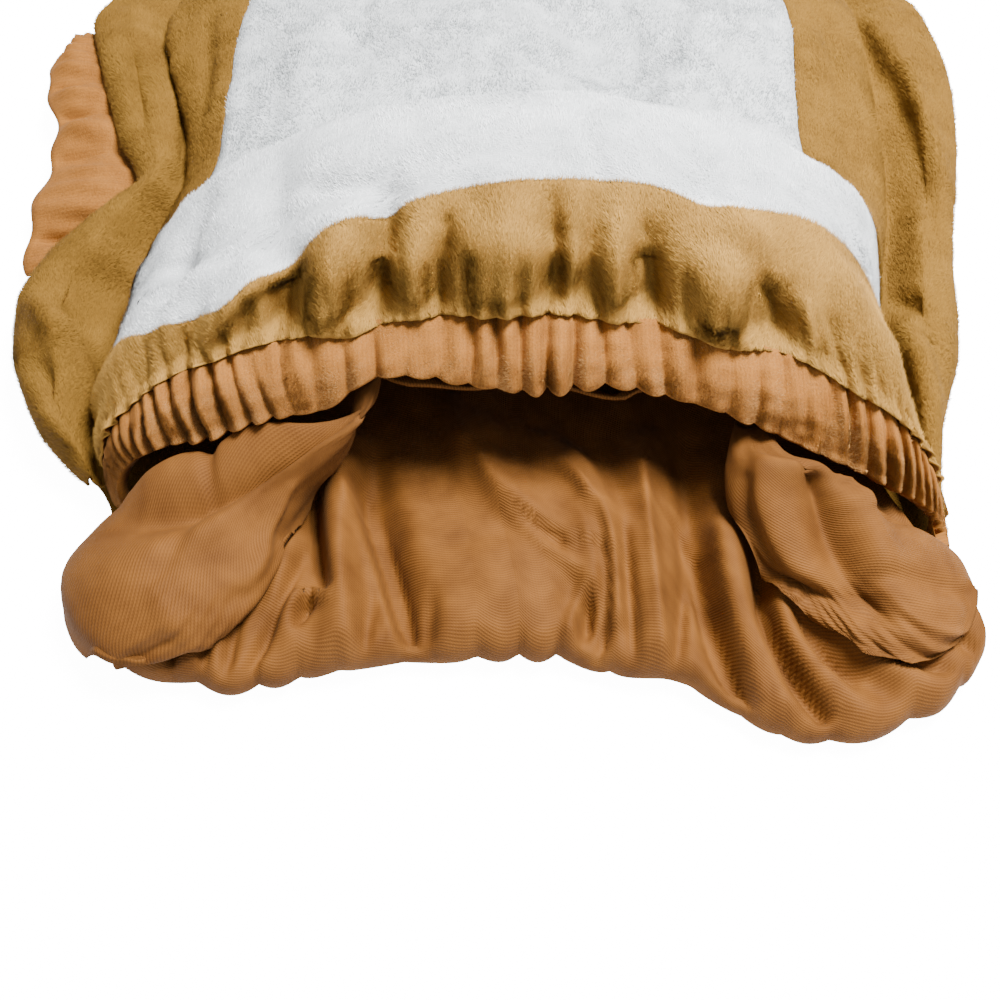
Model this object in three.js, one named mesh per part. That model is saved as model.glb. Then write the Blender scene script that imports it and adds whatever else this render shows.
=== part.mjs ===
// A baby's sleeveless lion costume vest, laid on its back on a table with its gathered hem opened towards -Y.
// Units are millimetres and +Z is up. The origin lies on the underside, below the middle of the garment.
// Every piece of cloth is a wall: a surface worked out from a table of sections, lifted by a table of folds,
// and given its thickness along its own normals.
import * as THREE from "three";

// Driving dimensions
const hemToOrigin = 120; // from the hem line to the origin
const seamGap = 0.35;
const plushThickness = 1.8;
const bandThickness = 3.2; // an elastic in a casing of two layers
const liningThickness = 1.2;
const backThickness = 2.0;
const casingWidth = 19; // along the cloth
const hemGathers = 60; // on a whole turn of u from -1 to 1
const hemGatherDepth = 1.5;
const armGathers = 5;
const armGatherDepth = 2.6;
const neckBandWidth = 13;
const archShare = 0.74; // the part of the front's half width, as a share of u, that the main arch takes

// Colours
const gold = { color: 0xc9964b, roughness: 0.95, metalness: 0 };
const white = { color: 0xe9edf0, roughness: 0.95, metalness: 0 };
const velour = { color: 0xb97a45, roughness: 0.9, metalness: 0 };
const tricot = { color: 0xa9703c, roughness: 0.7, metalness: 0 };

// Sections of the front from the hem to the neck. "at" is the way along the cloth at the centre front, in mm.
// The main arch runs from crease to crease, and a low side flange goes on from each crease to the outline.
const frontSections = [
  { at: 0, crownY: 42, crownZ: 50, creaseLeft: -107, edgeLeft: -110, creaseRight: 109, edgeRight: 111 },
  { at: 19, crownY: 56, crownZ: 62, creaseLeft: -111, edgeLeft: -116, creaseRight: 107, edgeRight: 110 },
  { at: 35, crownY: 62, crownZ: 77, creaseLeft: -115, edgeLeft: -131, creaseRight: 101, edgeRight: 111 },
  { at: 52, crownY: 76, crownZ: 86, creaseLeft: -115, edgeLeft: -141, creaseRight: 97, edgeRight: 120 },
  { at: 66, crownY: 89, crownZ: 90, creaseLeft: -113, edgeLeft: -143, creaseRight: 98, edgeRight: 122 },
  { at: 80, crownY: 103, crownZ: 85, creaseLeft: -111, edgeLeft: -143, creaseRight: 100, edgeRight: 123 },
  { at: 98, crownY: 116, crownZ: 66, creaseLeft: -107, edgeLeft: -137, creaseRight: 103, edgeRight: 124 },
  { at: 114, crownY: 130, crownZ: 49, creaseLeft: -102, edgeLeft: -122, creaseRight: 106, edgeRight: 126 },
  { at: 124, crownY: 139, crownZ: 46, creaseLeft: -100, edgeLeft: -114, creaseRight: 107, edgeRight: 128 },
  { at: 145, crownY: 159, crownZ: 46, creaseLeft: -101, edgeLeft: -122, creaseRight: 108, edgeRight: 131 },
  { at: 175, crownY: 188, crownZ: 45, creaseLeft: -107, edgeLeft: -131, creaseRight: 108, edgeRight: 133 },
  { at: 205, crownY: 217, crownZ: 37, creaseLeft: -113, edgeLeft: -139, creaseRight: 107, edgeRight: 131 },
  { at: 225, crownY: 236, crownZ: 24, creaseLeft: -112, edgeLeft: -138, creaseRight: 106, edgeRight: 130 },
  { at: 240, crownY: 250, crownZ: 12, creaseLeft: -109, edgeLeft: -135, creaseRight: 105, edgeRight: 128 },
  { at: 256, crownY: 264, crownZ: 5, creaseLeft: -106, edgeLeft: -131, creaseRight: 103, edgeRight: 124 },
];

// The left side of the same sections: where it lies, the height of the crease, of the flange's rim and of its
// lower edge, how far the flange turns under, and the arch's power, which is low where the arch is boxy.
// The armhole, from 118 to 210, leaves the flange open.
const leftSections = [
  { at: 0, y: 36, valley: 10, rim: 10.5, under: 2.5, turn: 168, power: 0.85 },
  { at: 19, y: 40, valley: 10, rim: 14, under: 2.5, turn: 168, power: 0.8 },
  { at: 35, y: 55, valley: 10, rim: 21, under: 2.5, turn: 168, power: 0.9 },
  { at: 52, y: 76, valley: 9, rim: 24, under: 2.5, turn: 168, power: 1.1 },
  { at: 80, y: 101, valley: 10, rim: 25, under: 2.5, turn: 168, power: 1.15 },
  { at: 98, y: 114, valley: 12, rim: 26, under: 4, turn: 160, power: 1 },
  { at: 114, y: 130, valley: 15, rim: 27, under: 10, turn: 120, power: 0.85 },
  { at: 124, y: 139, valley: 17, rim: 26, under: 12, turn: 90, power: 0.8 },
  { at: 145, y: 159, valley: 18, rim: 25, under: 11, turn: 85, power: 0.8 },
  { at: 175, y: 188, valley: 18, rim: 24, under: 11, turn: 85, power: 0.8 },
  { at: 205, y: 217, valley: 12, rim: 17, under: 8, turn: 75, power: 0.8 },
  { at: 225, y: 236, valley: 6.5, rim: 8.5, under: 5, turn: 60, power: 0.8 },
  { at: 240, y: 250, valley: 4.7, rim: 5, under: 4, turn: 50, power: 0.8 },
  { at: 256, y: 264, valley: 4.4, rim: 4.6, under: 3.8, turn: 50, power: 0.8 },
];

// The right side. Its armhole's band is turned in, so the flange turns under all the way.
const rightSections = [
  { at: 0, y: 21, valley: 10, rim: 10.5, under: 2.5, turn: 168, power: 1.5 },
  { at: 19, y: 28, valley: 10, rim: 13, under: 2.5, turn: 168, power: 0.95 },
  { at: 35, y: 50, valley: 11, rim: 18, under: 2.5, turn: 168, power: 0.8 },
  { at: 52, y: 78, valley: 11, rim: 21, under: 2.5, turn: 168, power: 0.8 },
  { at: 80, y: 101, valley: 12, rim: 22, under: 2.5, turn: 168, power: 0.8 },
  { at: 98, y: 114, valley: 13, rim: 22, under: 4, turn: 168, power: 0.8 },
  { at: 114, y: 130, valley: 14, rim: 23, under: 8, turn: 168, power: 0.8 },
  { at: 145, y: 159, valley: 15, rim: 24, under: 11, turn: 165, power: 0.8 },
  { at: 175, y: 188, valley: 16, rim: 23, under: 11, turn: 165, power: 0.8 },
  { at: 205, y: 217, valley: 12, rim: 18, under: 8, turn: 140, power: 0.8 },
  { at: 225, y: 236, valley: 6.5, rim: 8.5, under: 5, turn: 60, power: 0.8 },
  { at: 240, y: 250, valley: 4.7, rim: 5, under: 4, turn: 50, power: 0.8 },
  { at: 256, y: 264, valley: 4.4, rim: 4.6, under: 3.8, turn: 50, power: 0.8 },
];

// Where the white belly panel ends on either side, across the front
const bellySides = [
  { at: 51, left: -115, right: 97.5 },
  { at: 66, left: -110, right: 94 },
  { at: 80, left: -104, right: 90 },
  { at: 98, left: -96, right: 84 },
  { at: 118, left: -89, right: 79 },
  { at: 145, left: -87, right: 79 },
  { at: 175, left: -86, right: 81 },
  { at: 215, left: -80, right: 78 },
  { at: 256, left: -74, right: 72 },
];

// How far the casing's lower edge is pulled up, or hangs, along the hem
const casingHang = [
  { x: -110, at: 0 },
  { x: -94, at: -2 },
  { x: -83, at: -5 },
  { x: -66, at: -3 },
  { x: -50, at: -2.5 },
  { x: -39, at: 4 },
  { x: -25, at: 3.5 },
  { x: -12, at: 0.5 },
  { x: 2, at: -1 },
  { x: 20, at: 1.5 },
  { x: 40, at: 0 },
  { x: 58, at: -2 },
  { x: 72, at: -4 },
  { x: 92, at: -3 },
  { x: 108, at: 1 },
];

// The belly panel's lower edge, where it meets the gold piece above the hem
const bellyHem = [
  { x: -115, at: 51 },
  { x: -100, at: 39 },
  { x: -77, at: 31 },
  { x: -66, at: 36 },
  { x: -52, at: 43 },
  { x: -28, at: 49 },
  { x: 0, at: 52 },
  { x: 28, at: 53 },
  { x: 43, at: 50 },
  { x: 60, at: 53 },
  { x: 80, at: 55 },
  { x: 97.5, at: 51 },
];

// The front's top edge: a shoulder seam on both sides of the neck opening
const frontTop = [
  { x: -145, at: 238 },
  { x: -84, at: 247 },
  { x: -62, at: 251 },
  { x: -54, at: 240 },
  { x: -36, at: 222 },
  { x: 0, at: 211 },
  { x: 36, at: 222 },
  { x: 54, at: 240 },
  { x: 62, at: 251 },
  { x: 84, at: 247 },
  { x: 137, at: 238 },
];

// Folds of the front: a path across the cloth by x and "at", a width on each side of it, and a height
const frontFolds = [
  { name: "gather", from: [-97, 18], bend: [-98, 26], to: [-97, 38], left: 4, right: 4, height: -3 },
  { name: "gather", from: [-86, 18], bend: [-86, 26], to: [-83, 36], left: 4, right: 4, height: -3 },
  { name: "fuzzy fold", from: [-80, 22], bend: [-72, 34], to: [-60, 37], left: 4, right: 3, height: 4 },
  { name: "deep gather", from: [-60, 18], bend: [-60, 28], to: [-58, 40], left: 5, right: 4, height: -7.5 },
  { name: "hanging lobe", from: [-49, 19], bend: [-49, 30], to: [-45, 44], left: 6, right: 6, height: 6.5 },
  { name: "deep gather", from: [-37, 17], bend: [-36, 32], to: [-35, 50], left: 4, right: 5, height: -8.8 },
  { name: "hanging lobe", from: [-29, 20], bend: [-29, 28], to: [-29, 38], left: 4, right: 4, height: 3.9 },
  { name: "gather", from: [-22, 17], bend: [-22, 28], to: [-20, 42], left: 3, right: 3, height: -5 },
  { name: "hanging lobe", from: [-8, 19], bend: [-7, 30], to: [-5, 42], left: 9, right: 9, height: 5.2 },
  { name: "gather", from: [6, 17], bend: [7, 30], to: [5, 46], left: 3.5, right: 3, height: -5.5 },
  { name: "gather", from: [14, 17], bend: [14, 30], to: [16, 46], left: 3, right: 3, height: -4 },
  { name: "hanging lobe", from: [21, 20], bend: [21, 28], to: [21, 40], left: 4, right: 4, height: 3.9 },
  { name: "deep gather", from: [30, 16], bend: [30, 26], to: [29, 40], left: 5, right: 4, height: -8.8 },
  { name: "hanging lobe", from: [46, 19], bend: [46, 28], to: [46, 40], left: 8, right: 8, height: 7.8 },
  { name: "lobe's shoulder", from: [40, 50], bend: [56, 46], to: [64, 34], left: 5, right: 5, height: 3.5 },
  { name: "deep gather", from: [60, 17], bend: [62, 28], to: [60, 40], left: 6, right: 6, height: -7.5 },
  { name: "gather", from: [76, 17], bend: [76, 26], to: [74, 36], left: 4, right: 4, height: -3 },
  { name: "right shoulder", from: [60, 54], bend: [82, 46], to: [94, 28], left: 6, right: 6, height: 3 },
  { name: "dip in the roll", from: [42, 60], bend: [43, 52], to: [44, 44], left: 5, right: 5, height: -3 },
  { name: "roll crease", from: [12, 72], bend: [15, 60], to: [19, 50], left: 2.5, right: 2.5, height: -1.2 },
  { name: "roll trough", from: [-62, 70], bend: [-66, 56], to: [-64, 42], left: 6, right: 6, height: -4 },
  { name: "roll trough", from: [-84, 70], bend: [-92, 56], to: [-92, 44], left: 5, right: 5, height: -3.5 },
  { name: "belly ridge", from: [56, 182], bend: [48, 150], to: [36, 120], left: 6, right: 5, height: 4 },
  { name: "belly ridge", from: [69, 176], bend: [58, 150], to: [44, 122], left: 5, right: 4, height: 3 },
  { name: "belly ridge", from: [-30, 158], bend: [-6, 152], to: [14, 126], left: 12, right: 9, height: 5 },
  { name: "belly hollow", from: [14, 176], bend: [22, 160], to: [26, 140], left: 12, right: 10, height: -6 },
  { name: "belly ridge", from: [-60, 170], bend: [-66, 150], to: [-60, 128], left: 8, right: 8, height: 3 },
  { name: "side scoop lip", from: [-139, 72], bend: [-128, 62], to: [-118, 40], left: 5, right: 4, height: 6 },
  { name: "side hollow", from: [-128, 84], bend: [-124, 74], to: [-118, 62], left: 8, right: 7, height: -4 },
  { name: "side trough", from: [-138, 50], bend: [-128, 44], to: [-118, 32], left: 4, right: 4, height: -4 },
  { name: "side lip", from: [-134, 40], bend: [-126, 34], to: [-116, 26], left: 4, right: 4, height: 4 },
  { name: "arm trough", from: [-122, 184], bend: [-116, 168], to: [-116, 148], left: 4, right: 4, height: -4 },
  { name: "arm ridge", from: [-112, 200], bend: [-106, 165], to: [-104, 132], left: 4, right: 4, height: 4 },
  { name: "right ridge", from: [111, 206], bend: [121, 160], to: [123, 104], left: 4, right: 4, height: 3.5 },
  { name: "right trough", from: [114, 170], bend: [115, 130], to: [120, 88], left: 4, right: 4, height: -3 },
  { name: "right corner curl", from: [104, 62], bend: [110, 42], to: [110, 26], left: 4, right: 4, height: 4 },
];

// The back lining: its front edge, by x, and how low that edge comes
const liningFrontEdge = [
  { x: -100, y: -16.5, low: 0.5 },
  { x: -76, y: -17.3, low: 0.5 },
  { x: -63, y: -15.8, low: 0.5 },
  { x: -50, y: -12.5, low: 0.5 },
  { x: -30, y: -9.8, low: 0.5 },
  { x: 10, y: -8.5, low: 0.5 },
  { x: 20, y: -13, low: 0.5 },
  { x: 34, y: -13.5, low: 0.5 },
  { x: 44, y: -19, low: 0.5 },
  { x: 58, y: -28, low: 0.5 },
  { x: 68, y: -31, low: 0.5 },
  { x: 82, y: -30, low: 0.5 },
  { x: 97, y: -24, low: 0.5 },
  { x: 107, y: -17, low: 0.5 },
  { x: 113, y: -8, low: 0.5 },
];

// The back lining's height and sides, from the front edge into the garment
const liningSections = [
  { y: -30, left: -98, right: 113, height: 12 },
  { y: -12, left: -99, right: 113, height: 13 },
  { y: 0, left: -99, right: 112, height: 14 },
  { y: 18, left: -99, right: 102, height: 15 },
  { y: 40, left: -98, right: 93, height: 13 },
  { y: 64, left: -98, right: 92, height: 10 },
  { y: 100, left: -96, right: 90, height: 8 },
  { y: 150, left: -90, right: 88, height: 7 },
];

const liningFolds = [
  { name: "left edge", from: [-74, 10], bend: [-72, 0], to: [-80, -12], left: 4, right: 5, height: 3 },
  { name: "pinched fold", from: [-58, 20], bend: [-64, 6], to: [-58, -8], left: 4, right: 4, height: 4 },
  { name: "left gap", from: [-56, 44], bend: [-57, 22], to: [-53, 2], left: 4, right: 4, height: -6 },
  { name: "left ridge", from: [-46, 52], bend: [-50, 18], to: [-44, -12], left: 4, right: 8, height: 8 },
  { name: "long trough", from: [-42, 46], bend: [-36, 18], to: [-28, -8], left: 5, right: 5, height: -8 },
  { name: "centre bulge", from: [-12, 20], bend: [-8, 8], to: [-6, -6], left: 17, right: 17, height: 4 },
  { name: "inner flap", from: [-18, 66], bend: [-20, 34], to: [10, 20], left: 12, right: 4, height: 8 },
  { name: "curved fold", from: [6, 52], bend: [24, 36], to: [20, 0], left: 4, right: 8, height: 7 },
  { name: "front pinch", from: [12, 6], bend: [14, 0], to: [14, -10], left: 4, right: 4, height: -6 },
  { name: "right ridge", from: [31, 52], bend: [27, 20], to: [31, -12], left: 5, right: 5, height: 6 },
  { name: "deep gap", from: [42, 52], bend: [41, 12], to: [51, -24], left: 4, right: 4, height: -7 },
  { name: "sweeping fold", from: [50, 28], bend: [50, 2], to: [62, -23], left: 5, right: 5, height: 6 },
  { name: "sweeping gap", from: [59, 14], bend: [56, -8], to: [72, -27], left: 4, right: 4, height: -6 },
  { name: "sweeping fold", from: [66, 8], bend: [64, -12], to: [80, -26], left: 4, right: 4, height: 4 },
  { name: "sweeping gap", from: [70, 2], bend: [70, -10], to: [86, -20], left: 3.5, right: 3.5, height: -4 },
  { name: "sweeping fold", from: [78, 4], bend: [82, -12], to: [98, -20], left: 5, right: 5, height: 4 },
];

// A side pouch of the lining, spilling over a corner of the hem. Each row is one section: the end that is tucked
// under the casing, the end that lies on the back lining, and which way and how far the cloth bulges between them.
const leftPouch = [
  { at: 0, tuckX: -33, tuckY: 47, tuckZ: 38, layX: -38, layY: 48, layZ: 34, bulgeX: -1, bulgeY: -3, bulgeZ: 1 },
  { at: 0.08, tuckX: -39, tuckY: 41, tuckZ: 38, layX: -46, layY: 40, layZ: 26, bulgeX: -2, bulgeY: -4, bulgeZ: 3 },
  { at: 0.2, tuckX: -50, tuckY: 38, tuckZ: 37, layX: -55, layY: 33, layZ: 18, bulgeX: -3, bulgeY: -6, bulgeZ: 6 },
  { at: 0.4, tuckX: -66, tuckY: 35, tuckZ: 32, layX: -61, layY: 21, layZ: 16, bulgeX: -4, bulgeY: -6, bulgeZ: 9 },
  { at: 0.6, tuckX: -83, tuckY: 32, tuckZ: 27.3, layX: -66, layY: 7, layZ: 15, bulgeX: -6, bulgeY: -7, bulgeZ: 12 },
  { at: 0.8, tuckX: -99, tuckY: 29, tuckZ: 19, layX: -76, layY: -7, layZ: 13, bulgeX: -9, bulgeY: -7, bulgeZ: 13 },
  { at: 0.93, tuckX: -107, tuckY: 25, tuckZ: 10, layX: -88, layY: -14, layZ: 9, bulgeX: -14, bulgeY: -6, bulgeZ: 8 },
  { at: 1, tuckX: -109, tuckY: 20, tuckZ: 4, layX: -97, layY: -16, layZ: 5, bulgeX: -15, bulgeY: -4, bulgeZ: 0 },
];
const rightPouch = [
  { at: 0, tuckX: 60, tuckY: 45, tuckZ: 33, layX: 53, layY: 46, layZ: 31, bulgeX: 0, bulgeY: -3, bulgeZ: 1 },
  { at: 0.08, tuckX: 64, tuckY: 35, tuckZ: 33.5, layX: 51, layY: 39, layZ: 30, bulgeX: 0, bulgeY: -4, bulgeZ: 4 },
  { at: 0.2, tuckX: 73, tuckY: 31, tuckZ: 33, layX: 50, layY: 33, layZ: 26, bulgeX: 0, bulgeY: -4, bulgeZ: 9 },
  { at: 0.4, tuckX: 81, tuckY: 28, tuckZ: 26, layX: 52, layY: 22, layZ: 19, bulgeX: 0, bulgeY: -4, bulgeZ: 12 },
  { at: 0.6, tuckX: 90, tuckY: 26, tuckZ: 20, layX: 60, layY: 6, layZ: 16, bulgeX: 1, bulgeY: -4, bulgeZ: 11 },
  { at: 0.8, tuckX: 99, tuckY: 22.5, tuckZ: 16, layX: 74, layY: -6, layZ: 15, bulgeX: 3, bulgeY: -4, bulgeZ: 10 },
  { at: 0.93, tuckX: 106, tuckY: 18, tuckZ: 13, layX: 87, layY: -15, layZ: 14, bulgeX: 8, bulgeY: -4, bulgeZ: 6 },
  { at: 1, tuckX: 109, tuckY: 14, tuckZ: 11, layX: 98, layY: -13, layZ: 13, bulgeX: 7, bulgeY: -1, bulgeZ: 1 },
];

// Folds of the pouches, placed by mm across (25 at the end that lies on the lining) and mm along
const leftPouchFolds = [
  { name: "recess below the casing", from: [-25, 14], bend: [-12, 36], to: [-23, 62], left: 6, right: 6, height: -7 },
  { name: "ridge", from: [-18, 12], bend: [2, 36], to: [-16, 62], left: 5, right: 5, height: 2.5 },
  { name: "hollow", from: [14, 38], bend: [10, 50], to: [12, 64], left: 4, right: 5, height: -2 },
];
const rightPouchFolds = [
  { name: "recess below the casing", from: [-25, 26], bend: [-12, 42], to: [-24, 52], left: 5, right: 5, height: -6 },
  { name: "hollow", from: [-8, 22], bend: [-6, 36], to: [4, 52], left: 5, right: 5, height: -2.5 },
  { name: "pinch", from: [20, 46], bend: [13, 50], to: [11, 58], left: 4, right: 3, height: -4 },
];

// The front lining, from the hem casing into the garment
const frontLiningSections = [
  { y: 45, crown: 45, left: -92, right: 86, foot: 17 },
  { y: 56, crown: 43, left: -94, right: 86, foot: 16 },
  { y: 76, crown: 50, left: -96, right: 84, foot: 16 },
  { y: 100, crown: 54, left: -94, right: 84, foot: 15 },
  { y: 120, crown: 42, left: -90, right: 86, foot: 15 },
  { y: 150, crown: 34, left: -84, right: 84, foot: 15 },
];
const frontLiningFolds = [
  { name: "hanging lobe", from: [22, 58], bend: [20, 64], to: [16, 76], left: 12, right: 9, height: -8 },
  { name: "hanging lobe", from: [48, 58], bend: [48, 64], to: [44, 76], left: 8, right: 8, height: -7 },
  { name: "hanging lobe", from: [-14, 58], bend: [-12, 64], to: [-10, 76], left: 9, right: 9, height: -5 },
];

// The back panel's outline, from the hem to the shoulders, with its armholes between 125 and 225
const backSections = [
  { y: 12, left: -106, right: 108 },
  { y: 40, left: -112, right: 110 },
  { y: 60, left: -127, right: 114 },
  { y: 85, left: -137, right: 118 },
  { y: 105, left: -138, right: 120 },
  { y: 125, left: -126, right: 120 },
  { y: 140, left: -119, right: 121 },
  { y: 170, left: -121, right: 122 },
  { y: 200, left: -127, right: 123 },
  { y: 235, left: -131, right: 125 },
  { y: 262, left: -131, right: 124 },
];
const backTop = [
  { x: -140, y: 250 },
  { x: -84, y: 258 },
  { x: -62, y: 262 },
  { x: -50, y: 255 },
  { x: 0, y: 252 },
  { x: 50, y: 255 },
  { x: 62, y: 262 },
  { x: 84, y: 258 },
  { x: 130, y: 250 },
];

// The armholes' gathered bands. "seam" is the side sewn to the vest and "free" the other side.
const leftArmFront = [
  { y: 118, seamX: -126, seamZ: 6, freeX: -146, freeZ: 5 },
  { y: 128, seamX: -122, seamZ: 8, freeX: -147, freeZ: 7 },
  { y: 139, seamX: -115.5, seamZ: 15, freeX: -146, freeZ: 10 },
  { y: 159, seamX: -123, seamZ: 17, freeX: -143, freeZ: 11 },
  { y: 176, seamX: -128.5, seamZ: 17, freeX: -145, freeZ: 12 },
  { y: 192, seamX: -133.5, seamZ: 16, freeX: -150, freeZ: 11 },
  { y: 207, seamX: -138, seamZ: 12, freeX: -148, freeZ: 8 },
  { y: 218, seamX: -140, seamZ: 11, freeX: -145, freeZ: 8 },
];
const leftArmBack = [
  { y: 126, seamX: -128, seamZ: 2.2, freeX: -141, freeZ: 2.6 },
  { y: 133, seamX: -124.5, seamZ: 2.2, freeX: -140, freeZ: 2.6 },
  { y: 141, seamX: -121.5, seamZ: 2.2, freeX: -140, freeZ: 2.6 },
  { y: 170, seamX: -121.8, seamZ: 2.2, freeX: -141, freeZ: 2.6 },
  { y: 200, seamX: -127.8, seamZ: 2.2, freeX: -145, freeZ: 2.6 },
  { y: 222, seamX: -131, seamZ: 2.2, freeX: -142, freeZ: 2.6 },
];
const rightArmFront = [
  { y: 136, seamX: 120, seamZ: 8, freeX: 103, freeZ: 8 },
  { y: 150, seamX: 121, seamZ: 9.6, freeX: 104, freeZ: 9 },
  { y: 200, seamX: 121, seamZ: 9, freeX: 104, freeZ: 8.5 },
  { y: 212, seamX: 120, seamZ: 7.5, freeX: 105, freeZ: 7.5 },
];
const rightArmBack = [
  { y: 136, seamX: 119, seamZ: 4.6, freeX: 103, freeZ: 4.8 },
  { y: 212, seamX: 121, seamZ: 4.6, freeX: 105, freeZ: 4.8 },
];

const clamp = THREE.MathUtils.clamp;
const mix = THREE.MathUtils.lerp;
const smooth = THREE.MathUtils.smoothstep;
const degrees = THREE.MathUtils.degToRad;

// A smooth curve through one column of a table
function columnCurve(rows, key, column) {
  const t = rows.map((row) => row[key]);
  const value = rows.map((row) => row[column]);
  const slope = value.map((_, i) => {
    const a = Math.max(0, i - 1);
    const b = Math.min(value.length - 1, i + 1);
    return (value[b] - value[a]) / (t[b] - t[a]);
  });
  return (at) => {
    if (at < t[0]) return value[0] + (at - t[0]) * slope[0];
    const x = Math.min(at, t[t.length - 1]);
    let i = 0;
    while (i < t.length - 2 && x > t[i + 1]) i += 1;
    const span = t[i + 1] - t[i];
    const s = (x - t[i]) / span;
    const early = (1 + 2 * s) * (1 - s) * (1 - s) * value[i] + s * (1 - s) * (1 - s) * span * slope[i];
    const late = s * s * (3 - 2 * s) * value[i + 1] + s * s * (s - 1) * span * slope[i + 1];
    return early + late;
  };
}

// Every column of a table as a curve
function tableCurves(rows, key) {
  const columns = Object.keys(rows[0]).filter((column) => column !== key);
  return Object.fromEntries(columns.map((column) => [column, columnCurve(rows, key, column)]));
}

function pathPoint(fold, t) {
  const { from, bend, to } = fold;
  return [0, 1].map((i) => (1 - t) ** 2 * from[i] + 2 * t * (1 - t) * bend[i] + t ** 2 * to[i]);
}

// How far a table of folds lifts the cloth at (a, b). Each fold fades out towards both ends of its path.
function foldLift(folds, a, b) {
  const steps = 8;
  let lift = 0;
  for (const fold of folds) {
    const reach = 2.6 * Math.max(fold.left, fold.right);
    const low = Math.min(fold.from[0], fold.bend[0], fold.to[0]) - reach;
    const high = Math.max(fold.from[0], fold.bend[0], fold.to[0]) + reach;
    if (a < low || a > high) continue;
    let best = Infinity;
    let side = 1;
    let along = 0;
    for (let i = 0; i < steps; i += 1) {
      const start = pathPoint(fold, i / steps);
      const end = pathPoint(fold, (i + 1) / steps);
      const run = [end[0] - start[0], end[1] - start[1]];
      const way = ((a - start[0]) * run[0] + (b - start[1]) * run[1]) / (run[0] ** 2 + run[1] ** 2);
      const share = clamp(way, 0, 1);
      const off = [a - start[0] - share * run[0], b - start[1] - share * run[1]];
      const distance = Math.hypot(off[0], off[1]);
      if (distance >= best) continue;
      best = distance;
      side = run[0] * off[1] - run[1] * off[0];
      along = (i + share) / steps;
    }
    const width = side > 0 ? fold.left : fold.right;
    const fade = smooth(along, -0.15, 0.3) * (1 - smooth(along, 0.7, 1.15));
    lift += fold.height * Math.exp(-((best / width) ** 2)) * (0.35 + 0.65 * fade);
  }
  return lift;
}

// The unit normal of a surface, over a patch of plus and minus stepU and stepV
function normalOf(point, u, v, stepU, stepV) {
  const across = point(u + stepU, v).sub(point(u - stepU, v));
  const along = point(u, v + stepV).sub(point(u, v - stepV));
  return across.cross(along).normalize();
}

// A cloth surface is a smooth base, lifted along the base's normal by its folds. The wall's thickness goes along
// the base's normal too, so that the inner side never crosses itself where a fold is tight.
function clothSurface({ base, lift, stepU, stepV }) {
  const baseNormal = (u, v) => normalOf(base, u, v, stepU, stepV);
  const point = (u, v) => {
    const place = base(u, v);
    const height = lift(place, u, v);
    return place.addScaledVector(baseNormal(u, v), height);
  };
  const inward = (u, v, thickness) => {
    const way = baseNormal(u, v);
    const lean = Math.max(0.6, way.dot(normalOf(point, u, v, stepU / 4, stepV / 4)));
    return way.multiplyScalar(-thickness / lean);
  };
  return { point, inward };
}

const noLift = () => 0;

// A closed wall of cloth. domain(s, t) gives the surface's own (u, v) for a grid of columns and rows, and
// settle(place, inner) may rest a corner of the grid on what lies below it.
function clothWall(surface, domain, columns, rows, thickness, settle = (place) => place) {
  const outer = [];
  const inner = [];
  for (let j = 0; j <= rows; j += 1) {
    for (let i = 0; i <= columns; i += 1) {
      const [u, v] = domain(i / columns, j / rows);
      const place = surface.point(u, v);
      const under = place.clone().add(surface.inward(u, v, thickness));
      outer.push(settle(place, false));
      inner.push(settle(under, true));
    }
  }
  return closedSkin(outer, inner, columns, rows);
}

// Two grids of points stitched along their edges into one closed geometry, with its faces pointing out
function closedSkin(outer, inner, columns, rows) {
  const across = columns + 1;
  const count = outer.length;
  const faces = [];
  const quad = (a, b, c, d) => faces.push([a, b, c], [a, c, d]);
  for (let j = 0; j < rows; j += 1) {
    for (let i = 0; i < columns; i += 1) {
      const a = j * across + i;
      quad(a, a + 1, a + 1 + across, a + across);
      quad(count + a, count + a + across, count + a + 1 + across, count + a + 1);
    }
  }
  for (let i = 0; i < columns; i += 1) {
    const top = rows * across + i;
    quad(i + 1, i, count + i, count + i + 1);
    quad(top, top + 1, count + top + 1, count + top);
  }
  for (let j = 0; j < rows; j += 1) {
    const left = j * across;
    const right = left + columns;
    quad(left, left + across, count + left + across, count + left);
    quad(right + across, right, count + right, count + right + across);
  }
  const points = [...outer, ...inner];
  const volume = faces.reduce((sum, [a, b, c]) => sum + points[a].dot(points[b].clone().cross(points[c])), 0);
  const index = faces.flatMap((face) => (volume < 0 ? [face[0], face[2], face[1]] : face));
  const positions = new Float32Array(points.flatMap((p) => [p.x, p.y - hemToOrigin, p.z]));
  const geometry = new THREE.BufferGeometry();
  geometry.setAttribute("position", new THREE.BufferAttribute(positions, 3));
  geometry.setIndex(index);
  geometry.computeVertexNormals();
  return geometry;
}

// The front of the vest, as one surface that its panels share. u runs from -1 at the left edge to 1 at the right.
const front = tableCurves(frontSections, "at");
const leftSide = tableCurves(leftSections, "at");
const rightSide = tableCurves(rightSections, "at");

function archPoint(crease, side, at, share) {
  const turn = ((share / archShare) * Math.PI) / 2;
  const y = mix(front.crownY(at), side.y(at), 1 - Math.cos(turn));
  const valley = side.valley(at);
  const z = valley + (front.crownZ(at) - valley) * Math.max(0, Math.cos(turn)) ** side.power(at);
  return new THREE.Vector3(crease * Math.sin(turn), y, z);
}

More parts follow.
